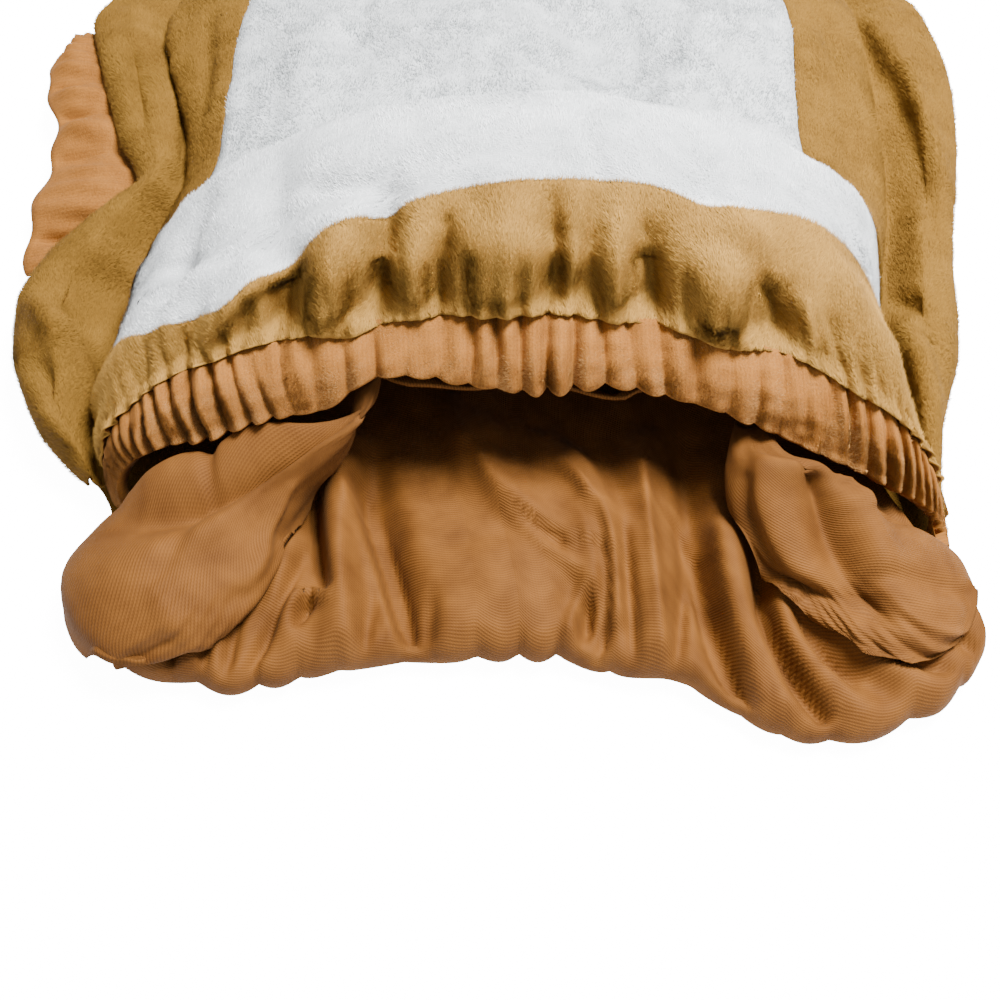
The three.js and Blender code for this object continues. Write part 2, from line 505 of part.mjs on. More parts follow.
function frontBase(u, at) {
  const side = u < 0 ? leftSide : rightSide;
  const crease = u < 0 ? front.creaseLeft(at) : front.creaseRight(at);
  const edge = u < 0 ? front.edgeLeft(at) : front.edgeRight(at);
  const share = Math.abs(u);
  if (share <= archShare) return archPoint(crease, side, at, share);
  const way = (share - archShare) / (1 - archShare);
  const rim = side.rim(at);
  const rimX = mix(crease, edge, 0.5);
  if (way <= 0.5) {
    const climb = 2 * way;
    return new THREE.Vector3(mix(crease, rimX, climb), side.y(at), mix(side.valley(at), rim, smooth(climb, 0, 1)));
  }
  const under = side.under(at);
  const turn = (2 * way - 1) * degrees(side.turn(at));
  const z = (rim + under) / 2 + ((rim - under) / 2) * Math.cos(turn);
  return new THREE.Vector3(rimX + (edge - rimX) * Math.sin(turn), side.y(at), z);
}

// Folds and the small gathers above the casing seam, fading out where the side flange turns under
function frontLift(place, u, at) {
  const seamFade = Math.exp(-Math.max(0, at - casingWidth) / 9);
  const gathers = 0.9 * seamFade * Math.sin(place.x * 0.62 + 1.3 * Math.sin(place.x * 0.11));
  const topFade = 1 - smooth(at, 205, 235);
  const creaseFade = 1 - 0.95 * Math.exp(-(((Math.abs(u) - archShare) / 0.035) ** 2));
  const edgeFade = 1 - smooth(Math.abs(u), 0.86, 0.93);
  return (foldLift(frontFolds, place.x, at) * topFade + gathers) * creaseFade * edgeFade;
}

// The casing ends on both sides in a short drop from the crease to the back casing
const casingReach = archShare + 0.05;
function casingBase(u, at) {
  const share = Math.abs(u);
  const side = u < 0 ? leftSide : rightSide;
  const crease = u < 0 ? front.creaseLeft(at) : front.creaseRight(at);
  if (share <= archShare) return archPoint(crease, side, at, share);
  const drop = (share - archShare) / (casingReach - archShare);
  return new THREE.Vector3(crease, side.y(at), mix(side.valley(at), 3.9, drop));
}

// The casing's gathers, uneven along the hem, on a casing that the elastic rounds out
function casingLift(place, u, at) {
  const fade = 1 - smooth(Math.abs(u), archShare - 0.06, archShare);
  const phase = u * hemGathers * Math.PI + 1.7 * Math.sin(u * 9) + 0.8 * Math.sin(u * 21);
  const wave = (Math.sin(phase) - 0.35 * Math.cos(2 * phase)) * (0.75 + 0.25 * Math.sin(u * 13 + at * 0.05));
  const round = Math.sin(clamp(at / casingWidth, 0, 1) * Math.PI);
  return (hemGatherDepth * wave + 1.6 * round - 0.8) * fade;
}

const frontSurface = clothSurface({ base: frontBase, lift: frontLift, stepU: 0.02, stepV: 1 });
const casingSurface = clothSurface({ base: casingBase, lift: casingLift, stepU: 0.01, stepV: 1 });

// The u at which the front's main arch reaches x
function archU(x, at) {
  const crease = x < 0 ? front.creaseLeft(at) : front.creaseRight(at);
  const limit = archShare - 0.006;
  const u = Math.sign(x) * (Math.asin(clamp(x / crease, 0, 1)) / (Math.PI / 2)) * archShare;
  return clamp(u, -limit, limit);
}

const bellySide = tableCurves(bellySides, "at");
const bellyHemAt = columnCurve(bellyHem, "x", "at");
const frontTopAt = columnCurve(frontTop, "x", "at");
const halfGap = seamGap / 2;
const bellyRows = 13;
const sideRows = 4; // more rows of the side panels, below the belly panel

// Finds "at" on a seam that is tabled by x
function seamAt(u, edge, start) {
  let at = start;
  for (let i = 0; i < 6; i += 1) at = edge(frontBase(u, at).x);
  return at;
}

// Columns a little closer at the crown than the arch's own angle gives
function columnShare(s) {
  const k = 2 * s - 1;
  return (mix(k, (Math.asin(k) * 2) / Math.PI, 0.5) + 1) / 2;
}

function bellyDomain(s, t) {
  let at = mix(52, 240, t);
  let u = 0;
  for (let i = 0; i < 6; i += 1) {
    const left = archU(bellySide.left(at) + halfGap, at);
    const right = archU(bellySide.right(at) - halfGap, at);
    u = mix(left, right, columnShare(s));
    const low = seamAt(u, bellyHemAt, 50) + 0.3;
    const high = seamAt(u, frontTopAt, 240);
    at = mix(low, high, t ** 1.3);
  }
  return [u, at];
}

function lowerDomain(s, t) {
  const limit = archShare - 0.016;
  const u = mix(-limit, limit, columnShare(s));
  return [u, mix(casingWidth + 1.2, seamAt(u, bellyHemAt, 50) - halfGap, t)];
}

// The side panels share their rows with the belly panel, so that the two edges of the seam match
function sideDomain(side) {
  const edgeTop = seamAt(side, frontTopAt, 238);
  return (s, t) => {
    const row = t * (bellyRows + sideRows);
    const bellyEdge = bellyDomain(side < 0 ? 0 : 1, Math.max(0, (row - sideRows) / bellyRows));
    const start = casingWidth + 1;
    const innerAt = row < sideRows ? mix(start, bellyEdge[1], row / sideRows) : bellyEdge[1];
    const topAt = bellyDomain(side < 0 ? 0 : 1, 1)[1];
    const outerAt = mix(start, edgeTop, (innerAt - start) / (topAt - start));
    const seam = side < 0 ? bellySide.left(innerAt) - halfGap : bellySide.right(innerAt) + halfGap;
    const onArch = row > sideRows ? archU(seam, innerAt) : side;
    const innerU = side * Math.min(Math.abs(onArch), archShare + 0.008);
    const creaseU = side * Math.max(archShare, Math.abs(mix(innerU, side, 0.3)));
    const u = s < 0.35 ? mix(innerU, creaseU, s / 0.35) : mix(creaseU, side, (s - 0.35) / 0.65);
    return [u, mix(innerAt, outerAt, s)];
  };
}

// The neck band's front half goes on from the top edge of the belly panel
function neckDomain(s, t) {
  const u = mix(archU(-56, 240), archU(56, 240), s);
  const start = seamAt(u, frontTopAt, 240) + 0.5;
  return [u, mix(start, Math.min(start + neckBandWidth, 255), t)];
}

// The back lining, with its front edge rolled under. v runs from 0 at the rolled edge to 1 inside the garment.
const liningEdge = tableCurves(liningFrontEdge, "x");
const liningShape = tableCurves(liningSections, "y");
const rollShare = 0.2;
const liningDepth = 150;

function liningTop(x, y) {
  return Math.max(5.4, liningShape.height(y) + foldLift(liningFolds, x, y));
}

function liningBase(u, v) {
  const spread = (y) => mix(liningShape.left(y), liningShape.right(y), (u + 1) / 2);
  const x = spread(-5);
  const frontY = liningEdge.y(x);
  const low = liningEdge.low(x);
  const radius = 5;
  const centreY = frontY + radius;
  if (v < rollShare) {
    const turn = mix(degrees(-80), Math.PI / 2, v / rollShare);
    const half = (liningShape.height(centreY) - low) / 2;
    return new THREE.Vector3(x, centreY - radius * Math.cos(turn), low + half + half * Math.sin(turn));
  }
  const y = mix(centreY, liningDepth, ((v - rollShare) / (1 - rollShare)) ** 1.25);
  const inside = spread(y);
  return new THREE.Vector3(inside, y, liningShape.height(y));
}

function liningPoint(u, v) {
  const place = liningBase(u, v);
  const roll = clamp(v / rollShare, 0, 1);
  const fold = Math.max(-place.z + 5.4, foldLift(liningFolds, place.x, place.y)) * smooth(roll, 0.1, 1);
  const out = (1 - smooth(roll, 0.4, 1)) * 0.25 * fold;
  return new THREE.Vector3(place.x, place.y - out, place.z + fold * smooth(roll, 0.2, 1));
}

const backLiningSurface = {
  point: liningPoint,
  inward: (u, v, thickness) => {
    const way = normalOf(liningBase, u, v, 0.01, 0.01);
    const lean = Math.max(0.6, way.dot(normalOf(liningPoint, u, v, 0.005, 0.005)));
    return way.multiplyScalar(-thickness / lean);
  },
};

// A pouch: every section is half an ellipse between its two ends, with the lower end turned in a little
function pouchSurface(sections, folds) {
  const shape = tableCurves(sections, "at");
  const base = (u, at) => {
    const turn = mix(degrees(-8), degrees(196), (u + 1) / 2);
    const tuck = new THREE.Vector3(shape.tuckX(at), shape.tuckY(at), shape.tuckZ(at));
    const lay = new THREE.Vector3(shape.layX(at), shape.layY(at), shape.layZ(at));
    const bulge = new THREE.Vector3(shape.bulgeX(at), shape.bulgeY(at), shape.bulgeZ(at));
    const share = (1 - Math.cos(turn)) / 2;
    return tuck.lerp(lay, share).addScaledVector(bulge, Math.sin(turn));
  };
  const lift = (place, u, at) => foldLift(folds, 25 * u, 75 * at) * smooth(1 - Math.abs(u), 0, 0.3);
  return clothSurface({ base, lift, stepU: 0.02, stepV: 0.02 });
}

// Keeps a pouch clear of the back lining, and of the table where it hangs over the lining's side
function settleOnLining(thickness) {
  return (place, inner) => {
    const left = liningShape.left(place.y) - place.x;
    const right = place.x - liningShape.right(place.y);
    const ahead = liningEdge.y(place.x) - place.y;
    const past = Math.max(left, right, ahead);
    const y = Math.max(place.y, liningEdge.y(place.x) + 5);
    const around = [[0, 0], [2.5, 0], [-2.5, 0], [0, 2.5], [0, -2.5]];
    const onLining = Math.max(...around.map(([dx, dy]) => liningTop(place.x + dx, y + dy))) + 0.6;
    const beside = mix(0.4, 4, smooth(place.y, 2, 8));
    const floor = mix(onLining, beside, smooth(past, 2, 4)) + (inner ? 0 : thickness);
    return new THREE.Vector3(place.x, place.y, Math.max(place.z, floor));
  };
}

const frontLining = tableCurves(frontLiningSections, "y");
const frontLiningSurface = clothSurface({
  base: (u, v) => {
    const turn = (u * Math.PI) / 2;
    const x = (u < 0 ? -frontLining.left(45) : frontLining.right(45)) * Math.sin(turn);
    const edgeY = 45 + 8 * smooth(Math.abs(x), 28, 42);
    const y = mix(edgeY, liningDepth, v);
    const half = u < 0 ? -frontLining.left(y) : frontLining.right(y);
    const foot = frontLining.foot(y);
    const z = foot + (frontLining.crown(y) - foot) * Math.max(0, Math.cos(turn)) ** 0.8;
    return new THREE.Vector3(half * Math.sin(turn), y, z);
  },
  lift: (place) => foldLift(frontLiningFolds, place.x, place.y),
  stepU: 0.01,
  stepV: 0.01,
});

// The hem's line on the back: it rises on both sides, where the casing turns up to the front
function hemRise(x) {
  return x < 0 ? 22 * smooth(-x, 60, 108) : 8 * smooth(x, 70, 108);
}

// The back panel is flat on the table
const backOutline = tableCurves(backSections, "y");
const backTopY = columnCurve(backTop, "x", "y");
const backSurface = clothSurface({
  base: (u, v) => {
    let y = mix(12, 250, v);
    let x = 0;
    for (let i = 0; i < 6; i += 1) {
      x = mix(backOutline.left(y), backOutline.right(y), (u + 1) / 2);
      y = mix(12.9 + hemRise(x), backTopY(x), v);
    }
    return new THREE.Vector3(x, y, backThickness);
  },
  lift: noLift,
  stepU: 0.01,
  stepV: 0.01,
});

// The casing's back half lies under the lining, flat below and gathered above
function casingBackGeometry() {
  const columns = 46;
  const rows = 2;
  const outer = [];
  const inner = [];
  for (let j = 0; j <= rows; j += 1) {
    for (let i = 0; i <= columns; i += 1) {
      const x = mix(-108, 108, i / columns);
      const gather = Math.sin(x * 0.66 + 1.4 * Math.sin(x * 0.08));
      const frontY = Math.max(-8.4, liningEdge.y(x) + 5.8) + 0.9 * gather;
      const y = mix(frontY, 11.2, j / rows) + hemRise(x);
      outer.push(new THREE.Vector3(x, y, 2.7 + 0.4 * Math.sin((j / rows) * Math.PI) + 0.25 * gather));
      inner.push(new THREE.Vector3(x, y, 0));
    }
  }
  return closedSkin(outer, inner, columns, rows);
}

// A gathered band of an armhole, between its seam and its free side
function armBand(sections, gathers, depth) {
  const rows = tableCurves(sections, "y");
  const lowY = sections[0].y;
  const highY = sections[sections.length - 1].y;
  const base = (u, t) => {
    const y = mix(lowY, highY, t);
    const across = (1 - u) / 2;
    return new THREE.Vector3(mix(rows.seamX(y), rows.freeX(y), across), y, mix(rows.seamZ(y), rows.freeZ(y), across));
  };
  const lift = (place, u, t) => {
    const wave = Math.sin(t * gathers * 2 * Math.PI + 1.5 * Math.sin(t * 11));
    return depth * wave * Math.sin(Math.PI * (0.1 + 0.45 * (1 - u)));
  };
  return clothSurface({ base, lift, stepU: 0.02, stepV: 0.01 });
}

const backNeckSurface = clothSurface({
  base: (u, v) => {
    const x = 46 * u;
    return new THREE.Vector3(x, backTopY(x) + 1 + neckBandWidth * v, backThickness);
  },
  lift: noLift,
  stepU: 0.01,
  stepV: 0.01,
});

const material = (settings) => new THREE.MeshStandardMaterial(settings);
const goldPlush = material(gold);
const whitePlush = material(white);
const brownVelour = material(velour);
const brownTricot = material(tricot);

const garment = new THREE.Group();
function add(name, finish, geometry) {
  const mesh = new THREE.Mesh(geometry, finish);
  mesh.name = name;
  garment.add(mesh);
}

const whole = (s, t) => [mix(-1, 1, s), t];
const casingHangAt = columnCurve(casingHang, "x", "at");
const casingDomain = (s, t) => {
  const u = mix(-casingReach, casingReach, s);
  return [u, mix(casingHangAt(frontBase(u, 0).x), casingWidth, t)];
};
const overBack = (place, inner) => {
  const floor = backThickness + seamGap + (inner ? 0.6 * plushThickness : 0);
  return new THREE.Vector3(place.x, place.y, Math.max(place.z, floor));
};
const onPouch = settleOnLining(liningThickness);
const leftPouchSurface = pouchSurface(leftPouch, leftPouchFolds);
const rightPouchSurface = pouchSurface(rightPouch, rightPouchFolds);

add("front_belly", whitePlush, clothWall(frontSurface, bellyDomain, 44, bellyRows, plushThickness, overBack));
add("front_lower", goldPlush, clothWall(frontSurface, lowerDomain, 44, 5, plushThickness, overBack));
const panelRows = bellyRows + sideRows;
add("front_side_left", goldPlush, clothWall(frontSurface, sideDomain(-1), 12, panelRows, plushThickness, overBack));
add("front_side_right", goldPlush, clothWall(frontSurface, sideDomain(1), 12, panelRows, plushThickness, overBack));
add("hem_casing_front", brownVelour, clothWall(casingSurface, casingDomain, 186, 3, bandThickness));
add("hem_casing_back", brownVelour, casingBackGeometry());
add("back_panel", goldPlush, clothWall(backSurface, whole, 16, 10, backThickness));
add("lining_back", brownTricot, clothWall(backLiningSurface, whole, 46, 15, liningThickness));
add("lining_pouch_left", brownTricot, clothWall(leftPouchSurface, whole, 18, 16, liningThickness, onPouch));
add("lining_pouch_right", brownTricot, clothWall(rightPouchSurface, whole, 18, 16, liningThickness, onPouch));
add("lining_front", brownTricot, clothWall(frontLiningSurface, whole, 22, 7, liningThickness));
const armLeftFront = armBand(leftArmFront, armGathers, armGatherDepth);
add("armhole_band_left_front", brownVelour, clothWall(armLeftFront, whole, 4, 30, 2));
add("armhole_band_left_back", brownVelour, clothWall(armBand(leftArmBack, 6, 0.4), whole, 2, 18, 2));
add("armhole_band_right_front", brownVelour, clothWall(armBand(rightArmFront, 6, 0.5), whole, 2, 16, 2));
add("armhole_band_right_back", brownVelour, clothWall(armBand(rightArmBack, 6, 0), whole, 2, 4, 2));
add("neck_band_front", brownVelour, clothWall(frontSurface, neckDomain, 16, 2, plushThickness, overBack));
add("neck_band_back", brownVelour, clothWall(backNeckSurface, whole, 12, 2, backThickness));

export default garment;
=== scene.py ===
# %% [markdown]
# # A baby's lion vest, laid on its back
# The real vest is sewn from plush, velour and a ribbed tricot lining, so it is cloth all through. Cloth
# could be draped by simulation, but then each fold would fall where it likes. Here every piece is a
# thin shell instead, worked out from a table of sections and a table of folds, so that each fold lies
# where the real one lies. The coarse sections and folds are those of the CAD solids, and finer folds
# are added on finer grids.
#
# Tables and surfaces are in millimetres, with the hem line at y = 0. Meshes are in metres, in the
# frame's place.

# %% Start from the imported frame
import math

import bpy
import numpy as np
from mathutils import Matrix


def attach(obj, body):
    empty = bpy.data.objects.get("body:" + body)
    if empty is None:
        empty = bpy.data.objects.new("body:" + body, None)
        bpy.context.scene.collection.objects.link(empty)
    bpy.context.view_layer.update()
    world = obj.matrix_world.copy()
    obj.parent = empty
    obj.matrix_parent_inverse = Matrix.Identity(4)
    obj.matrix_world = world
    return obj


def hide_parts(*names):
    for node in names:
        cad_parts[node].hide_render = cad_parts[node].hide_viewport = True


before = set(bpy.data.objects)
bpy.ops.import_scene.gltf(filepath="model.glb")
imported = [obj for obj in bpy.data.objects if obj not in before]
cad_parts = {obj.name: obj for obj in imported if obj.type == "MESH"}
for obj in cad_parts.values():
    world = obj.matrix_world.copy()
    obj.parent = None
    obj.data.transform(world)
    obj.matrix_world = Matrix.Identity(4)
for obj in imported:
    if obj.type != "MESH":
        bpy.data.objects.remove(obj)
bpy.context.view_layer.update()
random = np.random.default_rng(7)

HEM_TO_ORIGIN = 120.0  # from the hem line to the frame's origin
CASING_WIDTH = 19.0
NECK_BAND = 13.0
ARCH_SHARE = 0.74  # the part of the front's half width, as a share of u, that its arch takes
SEAM = 0.35  # the gap that is left at a seam

# %% [markdown]
# ## The shape of the front, in sections
# The vest's front stands up from the table as one arch from its left crease to its right crease, and a
# low flange goes on from each crease to the outline. A section across the front is taken every 10 to 30
# mm. In the tables, "at" is the way along the cloth at the centre front, from the hem to the neck.
# "crown" is the top of the arch, and "crease" and "edge" are the x of the creases and of the outline.

# %% The arch of the front
FRONT = [
    dict(at=0, crown_y=42, crown_z=50, crease_l=-107, edge_l=-110, crease_r=109, edge_r=111),
    dict(at=19, crown_y=56, crown_z=62, crease_l=-111, edge_l=-116, crease_r=107, edge_r=110),
    dict(at=35, crown_y=62, crown_z=77, crease_l=-115, edge_l=-131, crease_r=101, edge_r=111),
    dict(at=52, crown_y=76, crown_z=86, crease_l=-115, edge_l=-141, crease_r=97, edge_r=120),
    dict(at=66, crown_y=89, crown_z=90, crease_l=-113, edge_l=-143, crease_r=98, edge_r=122),
    dict(at=80, crown_y=103, crown_z=85, crease_l=-111, edge_l=-143, crease_r=100, edge_r=123),
    dict(at=98, crown_y=116, crown_z=66, crease_l=-107, edge_l=-137, crease_r=103, edge_r=124),
    dict(at=114, crown_y=130, crown_z=49, crease_l=-102, edge_l=-122, crease_r=106, edge_r=126),
    dict(at=124, crown_y=139, crown_z=46, crease_l=-100, edge_l=-114, crease_r=107, edge_r=128),
    dict(at=145, crown_y=159, crown_z=46, crease_l=-101, edge_l=-122, crease_r=108, edge_r=131),
    dict(at=175, crown_y=188, crown_z=45, crease_l=-107, edge_l=-131, crease_r=108, edge_r=133),
    dict(at=205, crown_y=217, crown_z=37, crease_l=-113, edge_l=-139, crease_r=107, edge_r=131),
    dict(at=225, crown_y=236, crown_z=24, crease_l=-112, edge_l=-138, crease_r=106, edge_r=130),
    dict(at=240, crown_y=250, crown_z=12, crease_l=-109, edge_l=-135, crease_r=105, edge_r=128),
    dict(at=256, crown_y=264, crown_z=5, crease_l=-106, edge_l=-131, crease_r=103, edge_r=124),
]

# %% [markdown]
# Each side has its own table: y where the crease and flange lie, z of the crease's valley, of the
# flange's rim and of its lower edge, the angle by which the flange turns under, and a power, which is
# low where the arch is boxy.

# %% The flanges on both sides
LEFT = [
    dict(at=0, y=36, valley=10, rim=10.5, under=2.5, turn=95, power=0.85),
    dict(at=19, y=40, valley=10, rim=12, under=2.5, turn=95, power=0.8),
    dict(at=35, y=55, valley=10, rim=21, under=2.5, turn=168, power=0.9),
    dict(at=52, y=76, valley=9, rim=24, under=2.5, turn=168, power=1.1),
    dict(at=80, y=101, valley=10, rim=25, under=2.5, turn=168, power=1.15),
    dict(at=98, y=114, valley=12, rim=26, under=4, turn=160, power=1.0),
    dict(at=114, y=130, valley=15, rim=27, under=10, turn=120, power=0.85),
    dict(at=124, y=139, valley=17, rim=26, under=12, turn=90, power=0.8),
    dict(at=145, y=159, valley=18, rim=25, under=11, turn=85, power=0.8),
    dict(at=175, y=188, valley=18, rim=24, under=11, turn=85, power=0.8),
    dict(at=205, y=217, valley=12, rim=17, under=8, turn=75, power=0.8),
    dict(at=225, y=236, valley=6.5, rim=8.5, under=5, turn=60, power=0.8),
    dict(at=240, y=250, valley=4.7, rim=5, under=4, turn=50, power=0.8),
    dict(at=256, y=264, valley=4.4, rim=4.6, under=3.8, turn=50, power=0.8),
]
RIGHT = [
    dict(at=0, y=21, valley=10, rim=10.5, under=2.5, turn=168, power=1.5),
    dict(at=19, y=28, valley=10, rim=13, under=2.5, turn=168, power=0.95),
    dict(at=35, y=50, valley=11, rim=18, under=2.5, turn=168, power=0.8),
    dict(at=52, y=78, valley=11, rim=21, under=2.5, turn=168, power=0.8),
    dict(at=80, y=101, valley=12, rim=22, under=2.5, turn=168, power=0.8),
    dict(at=98, y=114, valley=13, rim=22, under=4, turn=168, power=0.8),
    dict(at=114, y=130, valley=14, rim=23, under=8, turn=168, power=0.8),
    dict(at=145, y=159, valley=15, rim=24, under=11, turn=165, power=0.8),
    dict(at=175, y=188, valley=16, rim=23, under=11, turn=165, power=0.8),
    dict(at=205, y=217, valley=12, rim=18, under=8, turn=140, power=0.8),
    dict(at=225, y=236, valley=6.5, rim=8.5, under=5, turn=60, power=0.8),
    dict(at=240, y=250, valley=4.7, rim=5, under=4, turn=50, power=0.8),
    dict(at=256, y=264, valley=4.4, rim=4.6, under=3.8, turn=50, power=0.8),
]

# %% [markdown]
# ## Where the front's seams run
# The white belly panel is U-shaped. Its sides, its lower edge and the top edge at the shoulders and
# neck are seams, and so is the casing's lower edge, which the elastic pulls up in some places and lets
# hang in others.

# %% Seam lines on the front
BELLY_SIDES = [
    dict(at=51, left=-115, right=97.5),
    dict(at=66, left=-110, right=94),
    dict(at=80, left=-104, right=90),
    dict(at=98, left=-96, right=84),
    dict(at=118, left=-89, right=79),
    dict(at=145, left=-87, right=79),
    dict(at=175, left=-86, right=81),
    dict(at=215, left=-80, right=78),
    dict(at=256, left=-74, right=72),
]
CASING_HANG = [
    dict(x=-110, at=0),
    dict(x=-94, at=-2),
    dict(x=-83, at=-5),
    dict(x=-66, at=-3),
    dict(x=-50, at=-2.5),
    dict(x=-39, at=4),
    dict(x=-25, at=3.5),
    dict(x=-12, at=0.5),
    dict(x=2, at=-1),
    dict(x=20, at=1.5),
    dict(x=40, at=0),
    dict(x=58, at=-2),
    dict(x=72, at=-4),
    dict(x=92, at=-3),
    dict(x=108, at=1),
]
BELLY_HEM = [
    dict(x=-115, at=51),
    dict(x=-100, at=39),
    dict(x=-77, at=31),
    dict(x=-66, at=36),
    dict(x=-52, at=43),
    dict(x=-28, at=49),
    dict(x=0, at=52),
    dict(x=28, at=53),
    dict(x=43, at=50),
    dict(x=60, at=53),
    dict(x=80, at=55),
    dict(x=97.5, at=51),
]
FRONT_TOP = [
    dict(x=-145, at=238),
    dict(x=-84, at=247),
    dict(x=-62, at=251),
    dict(x=-54, at=240),
    dict(x=-36, at=222),
    dict(x=0, at=211),
    dict(x=36, at=222),
    dict(x=54, at=240),
    dict(x=62, at=251),
    dict(x=84, at=247),
    dict(x=137, at=238),
]

# %% [markdown]
# ## Folds
# A fold is a bent path on the cloth with a soft ridge or trough beside it. Its row holds the path's
# start, bend and end, then the width on the left and on the right of the path, and the height, which is
# below zero for a trough. The first table has the large folds that the solids have too. The second has
# the small ones between them.

# %% Folds of the front, placed by x and "at"
FRONT_FOLDS = [
    ((-97, 18), (-98, 26), (-97, 38), 4, 4, -3),
    ((-86, 18), (-86, 26), (-83, 36), 4, 4, -3),
    ((-80, 22), (-72, 34), (-60, 37), 4, 3, 4),
    ((-60, 18), (-60, 28), (-58, 40), 5, 4, -7.5),
    ((-49, 19), (-49, 30), (-45, 44), 6, 6, 6.5),
    ((-37, 17), (-36, 32), (-35, 50), 4, 5, -8.8),
    ((-29, 20), (-29, 28), (-29, 38), 4, 4, 3.9),
    ((-22, 17), (-22, 28), (-20, 42), 3, 3, -5),
    ((-8, 19), (-7, 30), (-5, 42), 9, 9, 5.2),
    ((6, 17), (7, 30), (5, 46), 3.5, 3, -5.5),
    ((14, 17), (14, 30), (16, 46), 3, 3, -4),
    ((21, 20), (21, 28), (21, 40), 4, 4, 3.9),
    ((30, 16), (30, 26), (29, 40), 5, 4, -8.8),
    ((46, 19), (46, 28), (46, 40), 8, 8, 7.8),
    ((40, 50), (56, 46), (64, 34), 5, 5, 3.5),
    ((60, 17), (62, 28), (60, 40), 6, 6, -7.5),
    ((76, 17), (76, 26), (74, 36), 4, 4, -3),
    ((60, 54), (82, 46), (94, 28), 6, 6, 3),
    ((42, 60), (43, 52), (44, 44), 5, 5, -3),
    ((12, 72), (15, 60), (19, 50), 2.5, 2.5, -1.2),
    ((-62, 70), (-66, 56), (-64, 42), 6, 6, -4),
    ((-84, 70), (-92, 56), (-92, 44), 5, 5, -3.5),
    ((56, 182), (48, 150), (36, 120), 6, 5, 4),
    ((69, 176), (58, 150), (44, 122), 5, 4, 3),
    ((-30, 158), (-6, 152), (14, 126), 12, 9, 5),
    ((14, 176), (22, 160), (26, 140), 12, 10, -6),
    ((-60, 170), (-66, 150), (-60, 128), 8, 8, 3),
    ((-139, 72), (-128, 62), (-118, 40), 5, 4, 6),
    ((-128, 84), (-124, 74), (-118, 62), 8, 7, -4),
    ((-138, 50), (-128, 44), (-118, 32), 4, 4, -4),
    ((-134, 40), (-126, 34), (-116, 26), 4, 4, 4),
    ((-122, 184), (-116, 168), (-116, 148), 4, 4, -4),
    ((-112, 200), (-106, 165), (-104, 132), 4, 4, 4),
    ((111, 206), (121, 160), (123, 104), 4, 4, 3.5),
    ((114, 170), (115, 130), (120, 88), 4, 4, -3),
    ((104, 62), (110, 42), (110, 26), 4, 4, 4),
]
FRONT_FINE_FOLDS = [
    ((-88, 76), (0, 88), (82, 74), 9, 8, 3.5),
    ((-78, 102), (0, 119), (74, 100), 9, 10, -8),
    ((-66, 50), (-40, 66), (-20, 62), 4, 5, -1.6),
    ((-20, 64), (6, 72), (30, 66), 5, 5, 1.4),
    ((-70, 20), (-70, 24), (-68, 30), 1.6, 2, -1.4),
    ((-66, 20), (-65, 26), (-66, 32), 1.5, 1.5, 1),
    ((-53, 19), (-54, 24), (-52, 32), 1.6, 1.6, -1.5),
    ((-44, 19), (-43, 26), (-42, 34), 1.8, 1.5, -1.6),
    ((-33, 19), (-32, 24), (-32, 34), 1.4, 1.4, 1.5),
    ((-16, 19), (-16, 24), (-15, 32), 1.6, 1.6, -1.6),
    ((-3, 19), (-3, 24), (-2, 33), 1.7, 1.7, -1.2),
    ((10, 19), (10, 25), (11, 36), 1.3, 1.3, 1.4),
    ((25, 19), (25, 24), (25, 32), 1.5, 1.5, -1.3),
    ((38, 19), (38, 25), (37, 36), 1.8, 1.6, -1.8),
    ((53, 19), (53, 25), (53, 33), 1.7, 1.7, -1.6),
    ((69, 19), (69, 25), (68, 34), 1.8, 1.8, 1.5),
    ((84, 19), (84, 26), (82, 36), 1.8, 1.8, -1.5),
    ((92, 20), (92, 28), (88, 38), 2, 2, 1.4),
    ((-96, 60), (-88, 52), (-74, 46), 2.5, 2, -1.2),
    ((-58, 62), (-50, 56), (-34, 55), 3, 2, -1.2),
    ((58, 66), (66, 58), (84, 58), 3, 2, 1.4),
    ((24, 190), (34, 170), (32, 146), 4, 3, -2),
    ((-10, 182), (2, 170), (8, 150), 5, 4, 1.6),
    ((-50, 196), (-46, 176), (-52, 150), 4, 5, -1.8),
    ((62, 200), (66, 180), (60, 160), 3, 3, -1.8),
    ((-96, 140), (-94, 165), (-98, 190), 3, 3, -2),
    ((94, 110), (96, 150), (92, 190), 3, 4, -2),
    ((100, 84), (112, 66), (112, 40), 2.5, 2.5, -2.2),
]

# %% [markdown]
# ## The lining's tables
# The back lining spills out of the hem and rolls under at its front edge. That edge wanders in y, and
# the lining is about 14 mm high on the casing below it, with long creases that run into the garment.

# %% The back lining's edge, sides and folds, placed by x and y
LINING_EDGE = [
    dict(x=-100, y=-12, low=0.5),
    dict(x=-88, y=-14.5, low=0.5),
    dict(x=-76, y=-17.3, low=0.5),
    dict(x=-63, y=-15.8, low=0.5),
    dict(x=-50, y=-12.5, low=0.5),
    dict(x=-30, y=-9.8, low=0.5),
    dict(x=10, y=-8.5, low=0.5),
    dict(x=20, y=-13, low=0.5),
    dict(x=34, y=-13.5, low=0.5),
    dict(x=44, y=-19, low=0.5),
    dict(x=58, y=-28, low=0.5),
    dict(x=68, y=-31, low=0.5),
    dict(x=82, y=-30, low=0.5),
    dict(x=97, y=-24, low=0.5),
    dict(x=107, y=-17, low=0.5),
    dict(x=113, y=-8, low=0.5),
]
LINING = [
    dict(y=-30, left=-102.5, right=113, height=12),
    dict(y=-12, left=-103, right=113, height=13),
    dict(y=0, left=-102.5, right=112, height=14),
    dict(y=18, left=-99, right=102, height=15),
    dict(y=40, left=-98, right=93, height=13),
    dict(y=64, left=-98, right=92, height=10),
    dict(y=100, left=-96, right=90, height=8),
    dict(y=150, left=-90, right=88, height=7),
]
